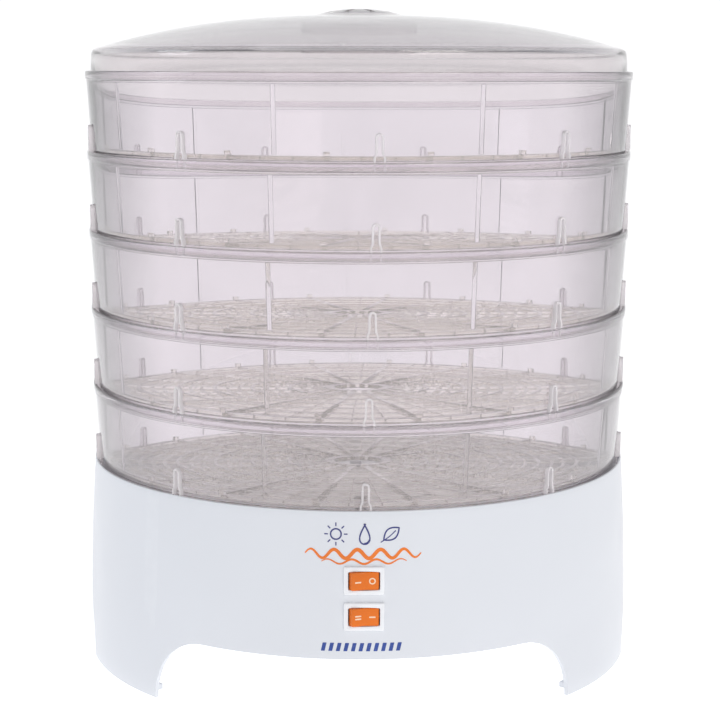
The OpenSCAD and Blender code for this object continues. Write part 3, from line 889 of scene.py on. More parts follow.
@dataclass
class Base:
    """White three-legged housing with its rim, arches and switch windows. Sizes in millimetres.

    Attributes:
        rim_r: Radius at the rim.
        flare: How much wider the housing is at the table.
        wall: Wall thickness.
        land: Width left on top of the rim.
        socket_r: Radius at the bottom of the socket that takes the lowest tray.
        socket_depth: Depth of that socket.
        rim_h: Height of the straight band at the rim, measured down from the top.
        arch_h: Height of the arches.
        foot_angle: Half angle of an arch at the table.
        top_angle: Half angle of its flat top.
        half_sector: Half angle of one arch and its share of the legs.
        clear: Height of the wall's lowest edge over the table.
        hold: Height over which the arches no longer shape the wall.
        window: Width and height of the opening behind each switch.
    """

    rim_r: float = 155.0
    flare: float = 4.7
    wall: float = 2.5
    land: float = 1.0
    socket_r: float = 153.1
    socket_depth: float = 4.5
    rim_h: float = 4.0
    arch_h: float = 38.0
    foot_angle: float = 45.0
    top_angle: float = 32.5
    half_sector: float = 60.0
    clear: float = 0.8
    hold: float = 56.0
    window: tuple[float, float] = (19.0, 13.0)

    def __post_init__(self) -> None:
        """Reads the height of the housing from the frame."""
        self.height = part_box("base_housing")[1].z / MM

    def radius(self, z: float) -> float:
        """Outer radius of the wall at a height."""
        return self.rim_r + self.flare * (1 - (z / self.height) ** 2)

    def columns(self) -> list[tuple[float, float]]:
        """Angle and lowest height of every upright line of the wall, once round.

        Returns:
            Pairs of angle in degrees and height in millimetres, in order round the wall.
        """
        foot_x = self.radius(0) * math.sin(math.radians(self.foot_angle))
        top_x = self.radius(self.arch_h) * math.sin(math.radians(self.top_angle))
        side = []
        for k in range(14):
            t = math.radians(90 * k / 14)
            x, z = top_x + (foot_x - top_x) * math.cos(t), self.arch_h * math.sin(t)
            side.append((math.degrees(math.asin(x / self.radius(z))), max(z, self.clear)))
        half, foot = self.half_sector, self.foot_angle
        leg = [(foot + (half - foot) * k / 8, self.clear) for k in range(1, 8)]
        top = [(-self.top_angle + 2 * self.top_angle * k / 40, self.arch_h) for k in range(41)]
        left = [(-a, z) for a, z in leg[::-1] + side]
        sector = [(-half, self.clear)] + left + top + side[::-1] + leg
        return [(a + turn, z) for turn in (0, 120, 240) for a, z in sector]

    def shell(self) -> Mesh:
        """Turns the wall, then draws its lower edge up into the arches.

        Returns:
            The closed shell, without windows.
        """
        neck, seat = self.height - self.rim_h, self.height - self.socket_depth
        levels = [self.clear + (self.hold - self.clear) * k / 6 for k in range(7)]
        levels += [self.hold + (neck - self.hold) * k / 6 for k in range(1, 7)]
        outer = [(self.radius(z), z) for z in levels]
        rim = [(self.rim_r, self.height), (self.rim_r - self.land, self.height),
               (self.socket_r, seat), (self.radius(neck) - self.wall, seat)]
        inner = [(self.radius(z) - self.wall, z) for z in levels[-2::-1]]
        outline = outer + rim + inner
        spots = self.columns()
        rounds = {0: 0.5, len(outline) - 1: 0.5, len(outer): 0.4, len(outer) + 1: 0.2}
        bm = lathe(outline, len(spots), rounds)
        step = math.tau / len(spots)
        for v in bm.verts:
            r, z = math.hypot(v.co.x, v.co.y) / MM, v.co.z / MM
            angle, low = spots[round(math.atan2(v.co.y, v.co.x) / step) % len(spots)]
            new_z = z
            if z < self.hold:
                new_z = self.hold - (self.hold - z) * (self.hold - low) / (self.hold - self.clear)
            r += self.radius(new_z) - self.radius(z)
            a = math.radians(angle)
            v.co = Vector((r * math.sin(a), -r * math.cos(a), new_z)) * MM
        return outward(bm)

    def cut_window(self, bm: Mesh, z: float) -> None:
        """Opens the wall behind one switch.

        Args:
            bm: The shell.
            z: Middle height of the switch in millimetres.
        """
        half_w, half_h, mid = self.window[0] / 2 * MM, self.window[1] / 2 * MM, z * MM

        def near(reach_x: float, reach_z: float) -> list[bmesh.types.BMFace]:
            """The front faces whose middles lie this near to the switch, in metres."""
            middles = [(f, f.calc_center_median()) for f in bm.faces]
            return [f for f, c in middles
                    if c.y < -0.12 and abs(c.x) < reach_x and abs(c.z - mid) < reach_z]

        for spot, facing in (((half_w, 0, 0), (1, 0, 0)), ((-half_w, 0, 0), (1, 0, 0)),
                             ((0, 0, mid + half_h), (0, 0, 1)), ((0, 0, mid - half_h), (0, 0, 1))):
            faces = near(0.03, 0.03)
            edges = {e for f in faces for e in f.edges}
            verts = {v for f in faces for v in f.verts}
            bmesh.ops.bisect_plane(bm, geom=faces + list(edges) + list(verts), plane_co=spot,
                                   plane_no=facing, dist=1e-6)
        bmesh.ops.delete(bm, geom=near(half_w, half_h), context="FACES")
        bmesh.ops.bridge_loops(bm, edges=[e for e in bm.edges if len(e.link_faces) == 1])
        outward(bm)

    def inner_ledges(self) -> Mesh:
        """Ring that carries the deck, bosses for the cover and a sole inside each leg.

        Returns:
            All of them as one mesh, in place.
        """
        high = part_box("base_deck")[0].z / MM
        cover_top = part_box("bottom_cover")[1].z / MM
        low = high - 2.5
        bm = lathe([(140, low), (152.5, low), (152.5, high), (140, high)], 128, {0: 0.4, 3: 0.4}, 2)
        boss = lathe([(1.6, 0), (4.6, 0), (5, 2), (4.4, 18), (1.6, 18)], 24)
        gather(bm, shifted(boss, 0, -150, cover_top), [turn_to(60 * k + 30) for k in range(6)])
        sole = section([(148, 1), (156.9, 1), (156.9, 4), (148, 4)], None, 1)
        bmesh.ops.spin(sole, geom=sole.faces[:], cent=(0, 0, 0), axis=(0, 0, 1),
                       angle=math.radians(24), steps=12)
        bmesh.ops.remove_doubles(sole, verts=sole.verts[:], dist=HAIR)
        return gather(bm, turned(outward(sole), -102, "Z"), [turn_to(a) for a in (-60, 60, 180)])

    def gland(self) -> Mesh:
        """Ribbed inlet gland on the back wall.

        Returns:
            The gland, in place.
        """
        low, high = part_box("cord_gland")
        reach = 6  # how far the gland stands out of the flange's plane
        bm = lathe([(3.6, -10), (6, -10), (6, 0.3), (8.5, 0.3), (8.5, 2.5), (6.4, 2.5), (6.4, 3.2),
                    (5.7, 3.2), (5.7, 3.9), (6.1, 3.9), (6.1, 4.7), (5.4, 4.7), (5.4, reach),
                    (3.6, reach)],
                   48, {1: 0.5, 3: 0.5, 4: 0.8, 6: 0.3, 9: 0.3, 12: 0.5, 13: 0.4}, 2)
        return shifted(turned(bm, -90, "X"), 0, high.y / MM - reach, (low.z + high.z) / 2 / MM)

    def build(self, switches: Sequence["Switch"]) -> None:
        """Makes the housing and the pieces moulded into it.

        Args:
            switches: The switches that need a window.
        """
        bm = self.shell()
        for switch in switches:
            self.cut_window(bm, switch.mid_z)
        piece("housing_shell", bm, "base", HOUSING, ["base_housing"])
        piece("housing_ledges", self.inner_ledges(), "base", HOUSING)
        piece("inlet_gland", self.gland(), "base", BEZEL, ["cord_gland"])


@dataclass
class Switch:
    """Snap-in rocker switch: bezel, body, rocker and marks. Sizes in millimetres.

    Attributes:
        key: Which switch, power or heat.
        plate_w: Width of the bezel.
        plate_h: Height of the bezel.
        plate_t: Thickness of the bezel.
        body_d: Depth of the body behind the bezel.
        window_w: Width of the window.
        window_h: Height of the window at its middle.
        bow: How much lower the window is at its ends.
        tilt: Rest tilt of the rocker in degrees.
        face_out: Pivot to the outer ends of the rocker.
        face_mid: Pivot to the middle of its face.
        end_r: Pivot to its curved ends.
        rocker_h: Height of the rocker.
        mark_w: Length of a bar mark.
        mark_h: Height of a bar mark, and the step between two.
        mark_x: Middle of a mark from the middle of the face.
        mark_t: Thickness of the marks.
    """

    key: str
    plate_w: float = 21.0
    plate_h: float = 15.0
    plate_t: float = 1.8
    body_d: float = 13.2
    window_w: float = 16.4
    window_h: float = 10.2
    bow: float = 0.35
    tilt: float = 9.0
    face_out: float = 4.2
    face_mid: float = 3.1
    end_r: float = 7.95
    rocker_h: float = 9.6
    mark_w: float = 3.3
    mark_h: float = 0.75
    mark_x: float = 3.7
    mark_t: float = 0.12

    def __post_init__(self) -> None:
        """Reads the switch's place from the frame."""
        low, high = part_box("switch_frame_" + self.key)
        self.front_y = low.y / MM
        self.mid_z = (low.z + high.z) / 2 / MM
        self.pivot_y = self.front_y + self.plate_t + 1.5

    def rect(self, w: float, h: float) -> Outline:
        """Corners of a rectangle round the middle."""
        return [(-w / 2, -h / 2), (w / 2, -h / 2), (w / 2, h / 2), (-w / 2, h / 2)]

    def bezel(self) -> Mesh:
        """Bezel and body with a slightly bowed window.

        Returns:
            The bezel, in place.
        """
        front = plate(self.rect(self.plate_w, self.plate_h), self.plate_t, 0.9, 0.55)
        body = plate(self.rect(self.plate_w - 2.6, self.plate_h - 2.6), self.body_d, 0.5)
        top = [(-self.window_w / 2 + self.window_w * k / 10,
                self.window_h / 2 - self.bow * ((k - 5) / 5) ** 2) for k in range(11)]
        hole = plate(top[::-1] + [(x, -z) for x, z in top], self.body_d - 2,
                     dict.fromkeys((0, 10, 11, 21), 0.6))
        made = fuse(fuse(front, shifted(body, 0, 1.0), "UNION"), shifted(hole, 0, -1.0),
                    "DIFFERENCE")
        reach_x, reach_z = (self.window_w / 2 + 0.1) * MM, (self.window_h / 2 + 0.2) * MM
        lip = [e for e in front_rim(made, 1e-6)
               if all(abs(v.co.x) < reach_x and abs(v.co.z) < reach_z for v in e.verts)]
        ease(made, lip, 0.3)
        return shifted(made, 0, self.front_y, self.mid_z)

    def swing(self, bm: Mesh) -> Mesh:
        """Tilts a mesh about the pivot and puts it in the window."""
        return shifted(turned(bm, self.tilt, "Z"), 0, self.pivot_y, self.mid_z)

    def rocker(self) -> Mesh:
        """Rocker with a shallow valley across its face and curved ends.

        Returns:
            The rocker, in place.
        """
        first, steps = math.asin(self.face_out / self.end_r), 6
        end = [(self.end_r * math.cos(first * k / steps), self.end_r * math.sin(first * k / steps))
               for k in range(steps + 1)]
        plan = [(-x, z) for x, z in end[::-1]] + [(-4.5, -2.5), (4.5, -2.5)] + end
        plan += [(0, self.face_mid)]
        last = len(plan) - 1
        bm = turned(plate(plan, self.rocker_h, {0: 0.5, last - 1: 0.5, last: 1.6}), 90, "X")
        rims = [e for e in bm.edges if abs(e.verts[0].co.z - e.verts[1].co.z) < HAIR
                and all(v.co.y < 0 for v in e.verts)]
        ease(bm, rims, 0.55, 3)
        return self.swing(shifted(bm, 0, 0, -self.rocker_h / 2))

    def bar(self, z: float = 0.0) -> Mesh:
        """One bar mark at a height."""
        return shifted(plate(self.rect(self.mark_w, self.mark_h), self.mark_t, 0.3), 0, 0, z)

    def marks(self) -> Mesh:
        """Off and on marks: bars and a ring on the two halves of the face.

        Returns:
            Both marks, in place.
        """
        slope = math.atan((self.face_out - self.face_mid)
                          / math.sqrt(self.end_r ** 2 - self.face_out ** 2))
        if self.key == "power":
            half = self.mark_t / 2
            left = self.bar(-0.5)
            right = turned(lathe([(1.1, -half), (1.75, -half), (1.75, half), (1.1, half)], 40),
                           90, "X")
        else:
            left = gather(self.bar(self.mark_h), self.bar(), [at(z=-self.mark_h)])
            right = self.bar()
        middle = -(self.face_mid + self.mark_x * math.tan(slope)) - 0.05
        made = bmesh.new()
        for side, mark in ((-1, left), (1, right)):
            lean = Matrix.Rotation(side * -slope, 4, "Z")
            gather(made, mark, [at(side * self.mark_x, middle) @ lean])
        return self.swing(made)

    def build(self) -> None:
        """Makes the bezel, the rocker and its marks."""
        body = self.key + "_rocker"
        piece("switch_bezel_" + self.key, self.bezel(), "base", BEZEL,
              ["switch_frame_" + self.key])
        piece("switch_rocker_" + self.key, self.rocker(), body, ROCKER,
              ["rocker_" + self.key])
        piece("switch_marks_" + self.key, self.marks(), body, MARK)


@dataclass
class FrontPrint:
    """Plain pad-printed decoration on the front of the housing. Sizes in millimetres.

    Attributes:
        base: The housing it is printed on.
        icon_z: Middle height of the row of icons.
        wave_z: Middle height of the wave line.
        bar_z: Middle height of the lower band.
        line: Width of an icon's line.
        fine: Width of a line inside an icon.
        film: Thickness of the ink.
    """

    base: Base
    icon_z: float = 104.3
    wave_z: float = 94.0
    bar_z: float = 44.8
    line: float = 0.75
    fine: float = 0.5
    film: float = 0.1

    def wrap(self, bm: Mesh, z: float = 0.0) -> Mesh:
        """Lifts flat print to a height and bends it round the wall, just proud of it."""
        for v in shifted(bm, 0, 0, z).verts:
            wall = self.base.radius(v.co.z / MM)
            r, a = wall + self.film - v.co.y / MM, v.co.x / MM / wall
            v.co.x, v.co.y = r * math.sin(a) * MM, -r * math.cos(a) * MM
        return bm

    def outline(self, points: Outline) -> Mesh:
        """A printed line that follows a closed outline.

        Args:
            points: The outline in millimetres.

        Returns:
            The line as a thin closed strip.
        """
        bm = bmesh.new()
        loops = []
        for size in (0.0, self.line):
            ring = []
            for k, (x, z) in enumerate(points):
                before, after = points[k - 1], points[(k + 1) % len(points)]
                dx, dz = after[0] - before[0], after[1] - before[1]
                reach = math.hypot(dx, dz) or 1.0
                ring.append(bm.verts.new(((x - dz / reach * size) * MM, 0,
                                          (z + dx / reach * size) * MM)))
            loops += [bm.edges.new((ring[k - 1], ring[k])) for k in range(len(ring))]
        bmesh.ops.bridge_loops(bm, edges=loops)
        return thicken(bm, self.film)

    def stroke(self, path: Callable[[float], tuple[float, float]],
               width: Callable[[float], float], steps: int) -> Mesh:
        """A printed line of changing width along a path.

        Args:
            path: Place in millimetres for a share from 0 to 1.
            width: Width in millimetres for a share from 0 to 1.
            steps: How many stretches it has.

        Returns:
            The line.
        """
        upper, lower = [], []
        for k in range(steps + 1):
            t = k / steps
            x, z = path(t)
            ahead, behind = path(min(1, t + 0.01)), path(max(0, t - 0.01))
            dx, dz = ahead[0] - behind[0], ahead[1] - behind[1]
            size = math.hypot(dx, dz) or 1
            nx, nz = -dz / size * width(t) / 2, dx / size * width(t) / 2
            upper.append((x + nx, z + nz))
            lower.append((x - nx, z - nz))
        return plate(lower + upper[::-1], self.film)

    def sun(self) -> Mesh:
        """Sun icon: a ring with eight rays.

        Returns:
            The icon, flat.
        """
        bm = self.outline([(3.1 * math.cos(math.tau * k / 40), 3.1 * math.sin(math.tau * k / 40))
                           for k in range(40)])
        ray = plate([(-0.3, 4.1), (0.3, 4.1), (0.3, 6.0), (-0.3, 6.0)], self.film, 0.25)
        return gather(bm, ray, [Matrix.Rotation(math.radians(45 * k), 4, "Y") for k in range(8)])

    def drop(self) -> Mesh:
        """Water drop icon with an inner glint line.

        Returns:
            The icon, flat.
        """
        turns = [math.tau * k / 48 for k in range(48)]
        bm = self.outline([(-4.2 * math.sin(t) * math.sin(t / 2) ** 1.4, 5.6 * math.cos(t))
                           for t in turns])
        glint = self.stroke(lambda t: (2.3 * math.cos(-1.7 + 1.5 * t),
                                       -2.4 + 2.3 * math.sin(-1.7 + 1.5 * t)),
                            lambda t: self.fine, 14)
        return gather(bm, glint)

    def leaf(self) -> Mesh:
        """Leaf icon with a midrib.

        Returns:
            The icon, flat.
        """
        side = [(-5.4 + 10.8 * k / 20, 3.3 * math.sin(math.pi * k / 20) ** 0.85) for k in range(21)]
        bm = self.outline(side[::-1] + [(x, -z) for x, z in side[1:-1]])
        midrib = self.stroke(lambda t: (-7.0 + 9.8 * t, -0.4 * math.sin(3 * t)),
                             lambda t: self.fine, 14)
        return turned(gather(bm, midrib), -38, "Y")

    def waves(self) -> Mesh:
        """Warm-air waves under the icons.

        Returns:
            Both waves, flat.
        """
        bm = self.stroke(lambda t: (-30.5 + 60 * t, 2.3 * math.sin(5 * math.tau * t)),
                         lambda t: 0.5 + 1.5 * math.sin(math.pi * t) ** 0.6, 150)
        lower = self.stroke(lambda t: (-22 + 44 * t, -4.0 + 1.2 * math.sin(3.5 * math.tau * t)),
                            lambda t: 0.3 + 0.8 * math.sin(math.pi * t) ** 0.6, 110)
        return gather(bm, lower)

    def band(self) -> Mesh:
        """Row of slanted bars."""
        bar = plate([(-1.0, -2.2), (1.0, -2.2), (2.0, 2.2), (0.0, 2.2)], self.film, 0.2)
        return gather(bmesh.new(), bar, [at(-21.4 + 3.9 * k) for k in range(11)])

    def build(self) -> None:
        """Prints the icons, the waves and the band."""
        icons = bmesh.new()
        for x, make in ((-14.5, self.sun), (0.3, self.drop), (14.0, self.leaf)):
            gather(icons, make(), [at(x, 0, self.icon_z)])
        for name, bm, ink in (("front_icons", self.wrap(icons), NAVY_INK),
                              ("front_waves", self.wrap(self.waves(), self.wave_z), ORANGE_INK),
                              ("front_band", self.wrap(self.band(), self.bar_z), BLUE_INK)):
            piece(name, bm, "base", ink)


# ---------------------------------------------------------------- trays and lid

@dataclass
class Tray:
    """Clear tray: tapered wall with rim socket, rest tabs and ribs, and a fine sieve floor.

    Sizes are in millimetres, with z = 0 at the rim that the tray stands on.

    Attributes:
        pitch: Height that a tray adds to the stack.
        rim_r: Radius of the rim band.
        socket_r: Radius of the socket in the rim.
        socket_depth: Depth of that socket.
        foot_r: Radius of the foot.
        foot_drop: How far the foot reaches down into the socket below.
        wall: Wall thickness.
        tabs: How many rest tabs and ribs it has.
        tab_half: Half width of a tab.
        tab_h: Height of a tab.
        rail: Width of the rail that a tab is bent from.
        floor_low: Height of the floor's underside.
        floor_high: Height of its top.
        hub_r: Radius of its hub.
        rings: How many main rings it has.
        ring_w: Width of a main ring.
        fine_rings: Fine hoops between two main rings.
        fine_w: Half width of a fine hoop.
        spokes: How many main spokes it has.
        first_turn: Turn of the lowest tray in degrees.
        step_turn: Turn of each tray against the one below it.
    """

    pitch: float = 44.0
    rim_r: float = 155.0
    socket_r: float = 153.1
    socket_depth: float = 4.5
    foot_r: float = 152.0
    foot_drop: float = 4.2
    wall: float = 1.8
    tabs: int = 9
    tab_half: float = 2.15
    tab_h: float = 14.6
    rail: float = 1.15
    floor_low: float = 1.0
    floor_high: float = 3.4
    hub_r: float = 20.0
    rings: int = 5
    ring_w: float = 2.2
    fine_rings: int = 2
    fine_w: float = 0.9
    spokes: int = 18
    first_turn: float = 0.3
    step_turn: float = 0.6

    def outer(self, z: float) -> float:
        """Outer radius of the wall at a height."""
        low, high = -self.foot_drop, self.pitch - self.socket_depth
        return self.foot_r + (self.rim_r - 0.7 - self.foot_r) * (z - low) / (high - low)

    def round_about(self, count: int, offset: float = 0.0) -> list[Matrix]:
        """Turns to places spread evenly round the tray, offset by a share of a step."""
        return [turn_to(360 / count * (k + offset)) for k in range(count)]

    def wall_ring(self) -> Mesh:
        """Turned wall with its rim band, socket, shelf and foot.

        Returns:
            The closed wall.
        """
        top, low = self.pitch, self.pitch - self.socket_depth
        shelf, ledge, inner = low - 1.2, self.socket_r - 2.1, self.foot_r - self.wall
        outline = [
            (self.foot_r, -self.foot_drop), (self.outer(low), low), (self.rim_r, low),
            (self.rim_r, top), (self.socket_r, top), (self.socket_r, low), (ledge, low),
            (ledge, shelf), (self.outer(low) - self.wall, shelf), (inner + 0.3, 1.0),
            (inner - 4, 1.0), (inner - 4, -0.5), (inner, -0.5), (inner, -self.foot_drop)]
        rounds = {0: 0.4, 1: 0.25, 2: 0.35, 3: 0.75, 4: 0.45, 6: 0.3, 7: 0.3, 10: 0.3, 11: 0.3,
                  13: 0.4}
        return lathe(outline, 192, rounds)

    def side(self, inset: float) -> Outline:
        """Outline of a tab, round at the top and wider at the foot, from right to left.

        Args:
            inset: How far the outline lies inside the outer one, in millimetres.

        Returns:
            The outline in millimetres.
        """
        half, top, foot = self.tab_half - inset, self.tab_h - inset, self.tab_half + 1 - inset
        arch = [(half * math.cos(math.pi * k / 12), top - half + half * math.sin(math.pi * k / 12))
                for k in range(13)]
        right = [(foot, 0.25), (foot, 2.6), (half + 0.1, 4.4)]
        return right + arch + [(-x, z) for x, z in right[::-1]]

    def tab(self) -> Mesh:
        """Rest tab: a rail bent over the top, with two legs that reach into the socket below.

        Returns:
            The tab at the front.
        """
        bm = plate(self.side(0.0) + self.side(self.rail)[::-1], 2.7, None, 0.3)
        shifted(bm, 0, -self.rim_r + 0.35, 0)
        leg_h = self.foot_drop - 0.1
        leg = shifted(brick((self.rail, 0.8, leg_h), 0.2), 0, -self.foot_r - 0.5, -leg_h / 2 + 0.1)
        return gather(bm, leg, [at(side * 2.5) for side in (-1, 1)])

    def rib(self) -> Mesh:
        """Upright rib inside the wall; it leans with the wall.

        Returns:
            The rib at the front.
        """
        low, high = 3.8, self.pitch - self.socket_depth - 1.2
        bm = shifted(brick((2.4, 1.7, high - low), 0.3), 0, 0, (low + high) / 2)
        for v in bm.verts:
            v.co.y -= (self.outer(v.co.z / MM) - self.wall + 0.05) * MM
        return bm

    def clear_wall(self) -> Mesh:
        """The wall with its ribs moulded on."""
        ribs = gather(bmesh.new(), self.rib(), self.round_about(self.tabs, 0.5))
        return fuse(self.wall_ring(), ribs, "UNION")

    def hoop(self, r_in: float, r_out: float, steps: int, eased: float = 0.0) -> Mesh:
        """One flat hoop of the sieve; a hoop without eased edges is a fine one."""
        low, high = (self.floor_low, self.floor_high) if eased else (1.5, 2.8)
        return lathe([(r_in, low), (r_out, low), (r_out, high), (r_in, high)], steps,
                     eased or None, 1)

    def bar(self, size: Sequence[float], start: float, z: float, edge: float = 0.0) -> Mesh:
        """A block of the floor that runs outwards from a radius, at a middle height."""
        return shifted(brick(size, edge), 0, -start - size[1] / 2, z)

    def sieve(self) -> Mesh:
        """Floor of rim, hub, spokes, main rings and a fine grid between them.

        Returns:
            The whole floor as one mesh.
        """
        rim = self.foot_r - self.wall - 0.1
        bm = self.hoop(rim - 4.9, rim, 144, 0.4)
        gather(bm, self.hoop(self.hub_r - 6, self.hub_r, 64, 0.4))
        gap = (rim + 0.1 - self.hub_r) / (self.rings + 1)
        for k in range(self.rings + 1):
            start = self.hub_r + gap * k
            if k < self.rings:
                ring = self.hub_r + gap * (k + 1)
                gather(bm, self.hoop(ring - self.ring_w, ring, 120, 0.35))
            for n in range(1, self.fine_rings + 1):
                r = start + (gap - self.ring_w) * n / (self.fine_rings + 1)
                gather(bm, self.hoop(r - self.fine_w, r + self.fine_w, 96))
        centre, reach, fan = 15, rim - 4, 58  # where spokes start and end, and fine ones start
        gather(bm, self.bar((3.0, reach - centre, 2.3), centre, 2.2, 0.35),
               self.round_about(self.spokes, 0.5))
        turn = 360 / self.spokes
        gather(bm, self.bar((1.0, reach - fan, 1.3), fan, 2.15),
               [turn_to(turn * (k + 0.5) + turn * n / 3)
                for k in range(self.spokes) for n in (1, 2)])
        nub = shifted(brick((3.4, 2.2, 2.4), 0.3), 0, -rim + 1.6, 4.3)
        return gather(bm, nub, self.round_about(self.spokes, 0.5))

    def build(self) -> None:
        """Makes one wall, one ring of tabs and one sieve and sets a copy in all five places."""
        tabs = gather(bmesh.new(), self.tab(), self.round_about(self.tabs))
        kinds = [("wall", TRAY, stored("tray_wall", self.clear_wall())),
                 ("tabs", TAB, stored("tray_tabs", tabs)),
                 ("sieve", SIEVE, stored("tray_sieve", self.sieve()))]
        for place, number in enumerate((5, 4, 3, 2, 1)):
            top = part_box(f"tray_{number}_wall")[1].z
            turn = turn_to(self.first_turn + self.step_turn * place)
            spot = Matrix.Translation((0, 0, top - self.pitch * MM)) @ turn
            for kind, finish, pattern in kinds:
                bm = bmesh.new()
                bm.from_mesh(pattern)
                bmesh.ops.transform(bm, matrix=spot, verts=bm.verts[:])
                piece(f"tray_{number}_{kind}_clear", bm, f"tray_{number}", finish,
                      [] if kind == "tabs" else [f"tray_{number}_{kind}"])


@dataclass
class Lid:
    """Clear domed lid with a shoulder, a vent crown and a collar. Sizes in millimetres.

    Attributes:
        foot_r: Radius of the foot that stands in the top rim.
        foot_drop: How far the foot reaches into it.
        shoulder_h: Height of the dome's outer edge over the rim.
        rise: Rise of the dome from there to its middle.
        dome_r: Radius at which the dome starts.
        power: How flat the dome is.
        crown_r: Radius of the vent crown.
        crown_rise: Its rise.
        collar_r: Radius of the collar under the crown.
        collar_h: How far the collar hangs down.
        wall: Wall thickness.
        vents: How many vent slots it has.
    """

    foot_r: float = 152.0
    foot_drop: float = 4.2
    shoulder_h: float = 12.0
    rise: float = 19.0
    dome_r: float = 150.0
    power: float = 2.4
    crown_r: float = 26.7
    crown_rise: float = 3.8
    collar_r: float = 33.0
    collar_h: float = 6.0
    wall: float = 2.0
    vents: int = 8

    def dome(self, r: float) -> float:
        """Height of the dome's outer face at a radius."""
        return self.shoulder_h + self.rise * (1 - (r / self.dome_r) ** self.power)

    def crown(self, r: float) -> float:
        """Height of the crown's outer face at a radius."""
        return self.dome(self.crown_r) + self.crown_rise * (1 - (r / self.crown_r) ** 2)

    def shell(self) -> Mesh:
        """Turned lid with its collar, before the vents are cut.

        Returns:
            The closed shell.
        """
        span = self.dome_r - 2 - self.crown_r
        radii = [self.crown_r + 0.6 + (span - 0.6) * (1 - (k / 22) ** 1.4) for k in range(23)]
        outer = [(self.foot_r, -self.foot_drop), (151.5, 5.5), (150.9, self.shoulder_h - 0.3)]
        outer += [(r, self.dome(r)) for r in radii[1:]]
        outer += [(self.crown_r * (1 - k / 6), self.crown(self.crown_r * (1 - k / 6)))
                  for k in range(7)]
        inner = [(self.crown_r * (k / 6), self.crown(self.crown_r * (k / 6)) - self.wall)
                 for k in range(7)]
        root = self.dome(self.collar_r) - self.wall
        drop = root - self.collar_h
        inner += [(self.collar_r - 1.6, root), (self.collar_r - 1.6, drop),
                  (self.collar_r, drop), (self.collar_r, root)]
        inner += [(min(r, self.dome_r - 2.8), self.dome(r) - self.wall)
                  for r in radii[::-1] if self.collar_r + 1 < r < self.dome_r - 5]
        inner += [(148.9, self.shoulder_h - 2.2), (149.5, 5.5),
                  (self.foot_r - self.wall, -self.foot_drop)]
        count = len(outer) + len(inner)
        return lathe(outer + inner, 192, {0: 0.4, 2: 2.4, count - 3: 1.3, count - 1: 0.4}, 6)

    def slots(self) -> Mesh:
        """Round-ended cutters for the vent slots.

        Returns:
            All the cutters as one mesh.
        """
        ends = [(1.5 * math.cos(math.pi * k / 8), 3.5 + 1.5 * math.sin(math.pi * k / 8))
                for k in range(9)]
        cutter = turned(plate(ends + [(-x, -z) for x, z in ends], 16), 90, "X")
        return gather(bmesh.new(), shifted(cutter, 0, -14, self.shoulder_h + 8),
                      [turn_to(360 / self.vents * (k + 0.5)) for k in range(self.vents)])

    def build(self) -> None:
        """Makes the lid."""
        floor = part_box("lid")[0].z / MM + self.foot_drop
        bm = fuse(self.shell(), self.slots(), "DIFFERENCE")
        piece("lid_clear", shifted(bm, 0, 0, floor), "lid_body", LID, ["lid"])


# ---------------------------------------------------------------- inside of the base

class Works:
    """The motor, fan, heater, controls, wires and plates that keep their own shape."""

    def build(self) -> None:
        """Gives every carried-over node the finish of its slot."""
        slots = {part["node"]: part["material_slot"] for part in frame["record"]["subparts"]}
        for name, obj in sorted(frame["nodes"].items()):
            if not obj.hide_render:
                obj.data.materials.clear()
                obj.data.materials.append(SLOT_FINISHES[slots[name]].material())
                log.info("finished %s as %s", name, slots[name])


# ---------------------------------------------------------------- studio

class Softbox(Enum):
    """The studio's lamps: place, size in metres, power in watts and colour."""

    KEY = ((-1.7, -0.15, 1.15), 0.62, 4.5, (0.93, 0.96, 1.0))
    FILL = ((0.85, -1.35, 1.4), 0.8, 8.5, (1.0, 0.965, 0.92))
    TOP = ((0.1, 0.35, 1.7), 1.2, 2.0, (1.0, 1.0, 1.0))


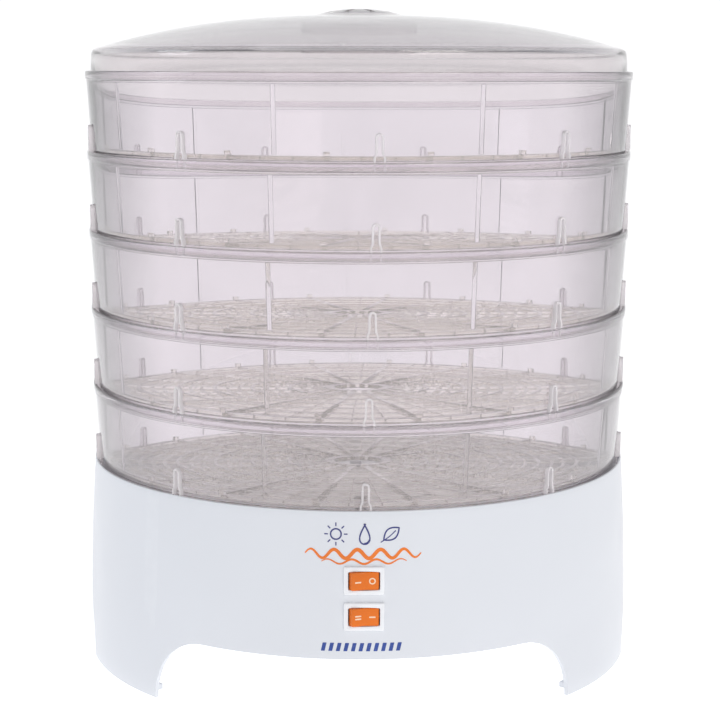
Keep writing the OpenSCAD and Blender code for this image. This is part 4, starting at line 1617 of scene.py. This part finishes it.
@dataclass
class Studio:
    """White sweep, soft lamps and the camera. Distances in millimetres, angles in degrees.

    Attributes:
        lens: Focal length.
        distance: Level distance from the camera to the upright axis.
        height: Height of the camera over the table.
        side: Angle of the camera round the axis, from the front towards the right.
        pitch: How far it looks down.
        roll: How far it is turned about its own axis.
        shift: Sideways and upward shift of the picture.
        floor_r: Radius of the floor in metres.
        aim_z: Height in metres that the lamps point at.
    """

    lens: float = 88.22
    distance: float = 1028.9
    height: float = 339.3
    side: float = -1.15
    pitch: float = 11.75
    roll: float = 0.11
    shift: tuple[float, float] = (0.0024, 0.10)
    floor_r: float = 9.0
    aim_z: float = 0.18

    def camera(self) -> None:
        """Places the camera and makes it the scene's own."""
        data = bpy.data.cameras.new("camera")
        data.lens, data.sensor_width = self.lens, 36.0
        data.shift_x, data.shift_y = self.shift
        data.clip_start, data.clip_end = 0.05, 40.0
        obj = placed("camera", data)
        a = math.radians(self.side)
        obj.matrix_world = (
            Matrix.Translation((self.distance * MM * math.sin(a), -self.distance * MM * math.cos(a),
                                self.height * MM))
            @ Matrix.Rotation(a, 4, "Z")
            @ Matrix.Rotation(math.radians(90 - self.pitch), 4, "X")
            @ Matrix.Rotation(math.radians(self.roll), 4, "Z"))
        bpy.context.scene.camera = obj

    def floor(self) -> None:
        """Wide pale floor."""
        bm = bmesh.new()
        bmesh.ops.create_circle(bm, cap_ends=True, segments=96, radius=self.floor_r)
        obj = placed("studio_floor", stored("studio_floor", bm))
        obj.data.materials.append(Paper("floor_pale", (0.66, 0.66, 0.67)).material())

    def lamps(self) -> None:
        """Soft lamps, all aimed at the object's middle."""
        for box in Softbox:
            place, size, power, colour = box.value
            data = bpy.data.lights.new("lamp_" + box.name.lower(), "AREA")
            data.shape, data.size, data.energy, data.color = "SQUARE", size, power, colour
            obj = placed(data.name, data)
            obj.location = place
            aim = Vector((0, 0, self.aim_z)) - Vector(place)
            obj.rotation_euler = aim.to_track_quat("-Z", "Y").to_euler()

    def surroundings(self) -> None:
        """White at the horizon, dimmer above it in front, grey and then dark overhead."""
        world = bpy.data.worlds.new("surroundings")
        bpy.context.scene.world = world
        world.use_nodes = True
        board = Board(world.node_tree)
        place = board.add("TexCoord").outputs["Generated"]
        axes = board.add("SeparateXYZ", Vector=place).outputs
        beyond = board.sum("MAXIMUM", board.span(axes["Y"], -0.35, 0.35),
                           board.span(axes["Z"], 0.1, 0.25, 1.0, 0.0))
        sky = board.tint(beyond, (0.78, 0.785, 0.79, 1), (1.0, 1.0, 1.01, 1))
        for low, high, grey in ((0.12, 0.65, (0.40, 0.41, 0.44, 1)),
                                (0.6, 0.88, (0.05, 0.05, 0.055, 1))):
            sky = board.tint(board.span(axes["Z"], low, high), sky, grey)
        shader = board.add("Background", Color=sky, Strength=1.05)
        board.join(shader.outputs[0], board.add("OutputWorld").inputs["Surface"])

    def build(self) -> None:
        """Sets up the whole studio."""
        self.camera()
        self.floor()
        self.lamps()
        self.surroundings()
        scene = bpy.context.scene
        scene.view_settings.view_transform = "Standard"
        scene.cycles.max_bounces = 20
        scene.cycles.transmission_bounces = 20
        scene.cycles.transparent_max_bounces = 24
        log.info("studio ready")


def main() -> None:
    """Builds the studio and every sub-assembly in order."""
    Studio().build()
    switches = [Switch("power"), Switch("heat")]
    base = Base()
    base.build(switches)
    for switch in switches:
        switch.build()
    FrontPrint(base).build()
    Tray().build()
    Lid().build()
    Works().build()
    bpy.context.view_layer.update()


if __name__ == "__main__":
    main()
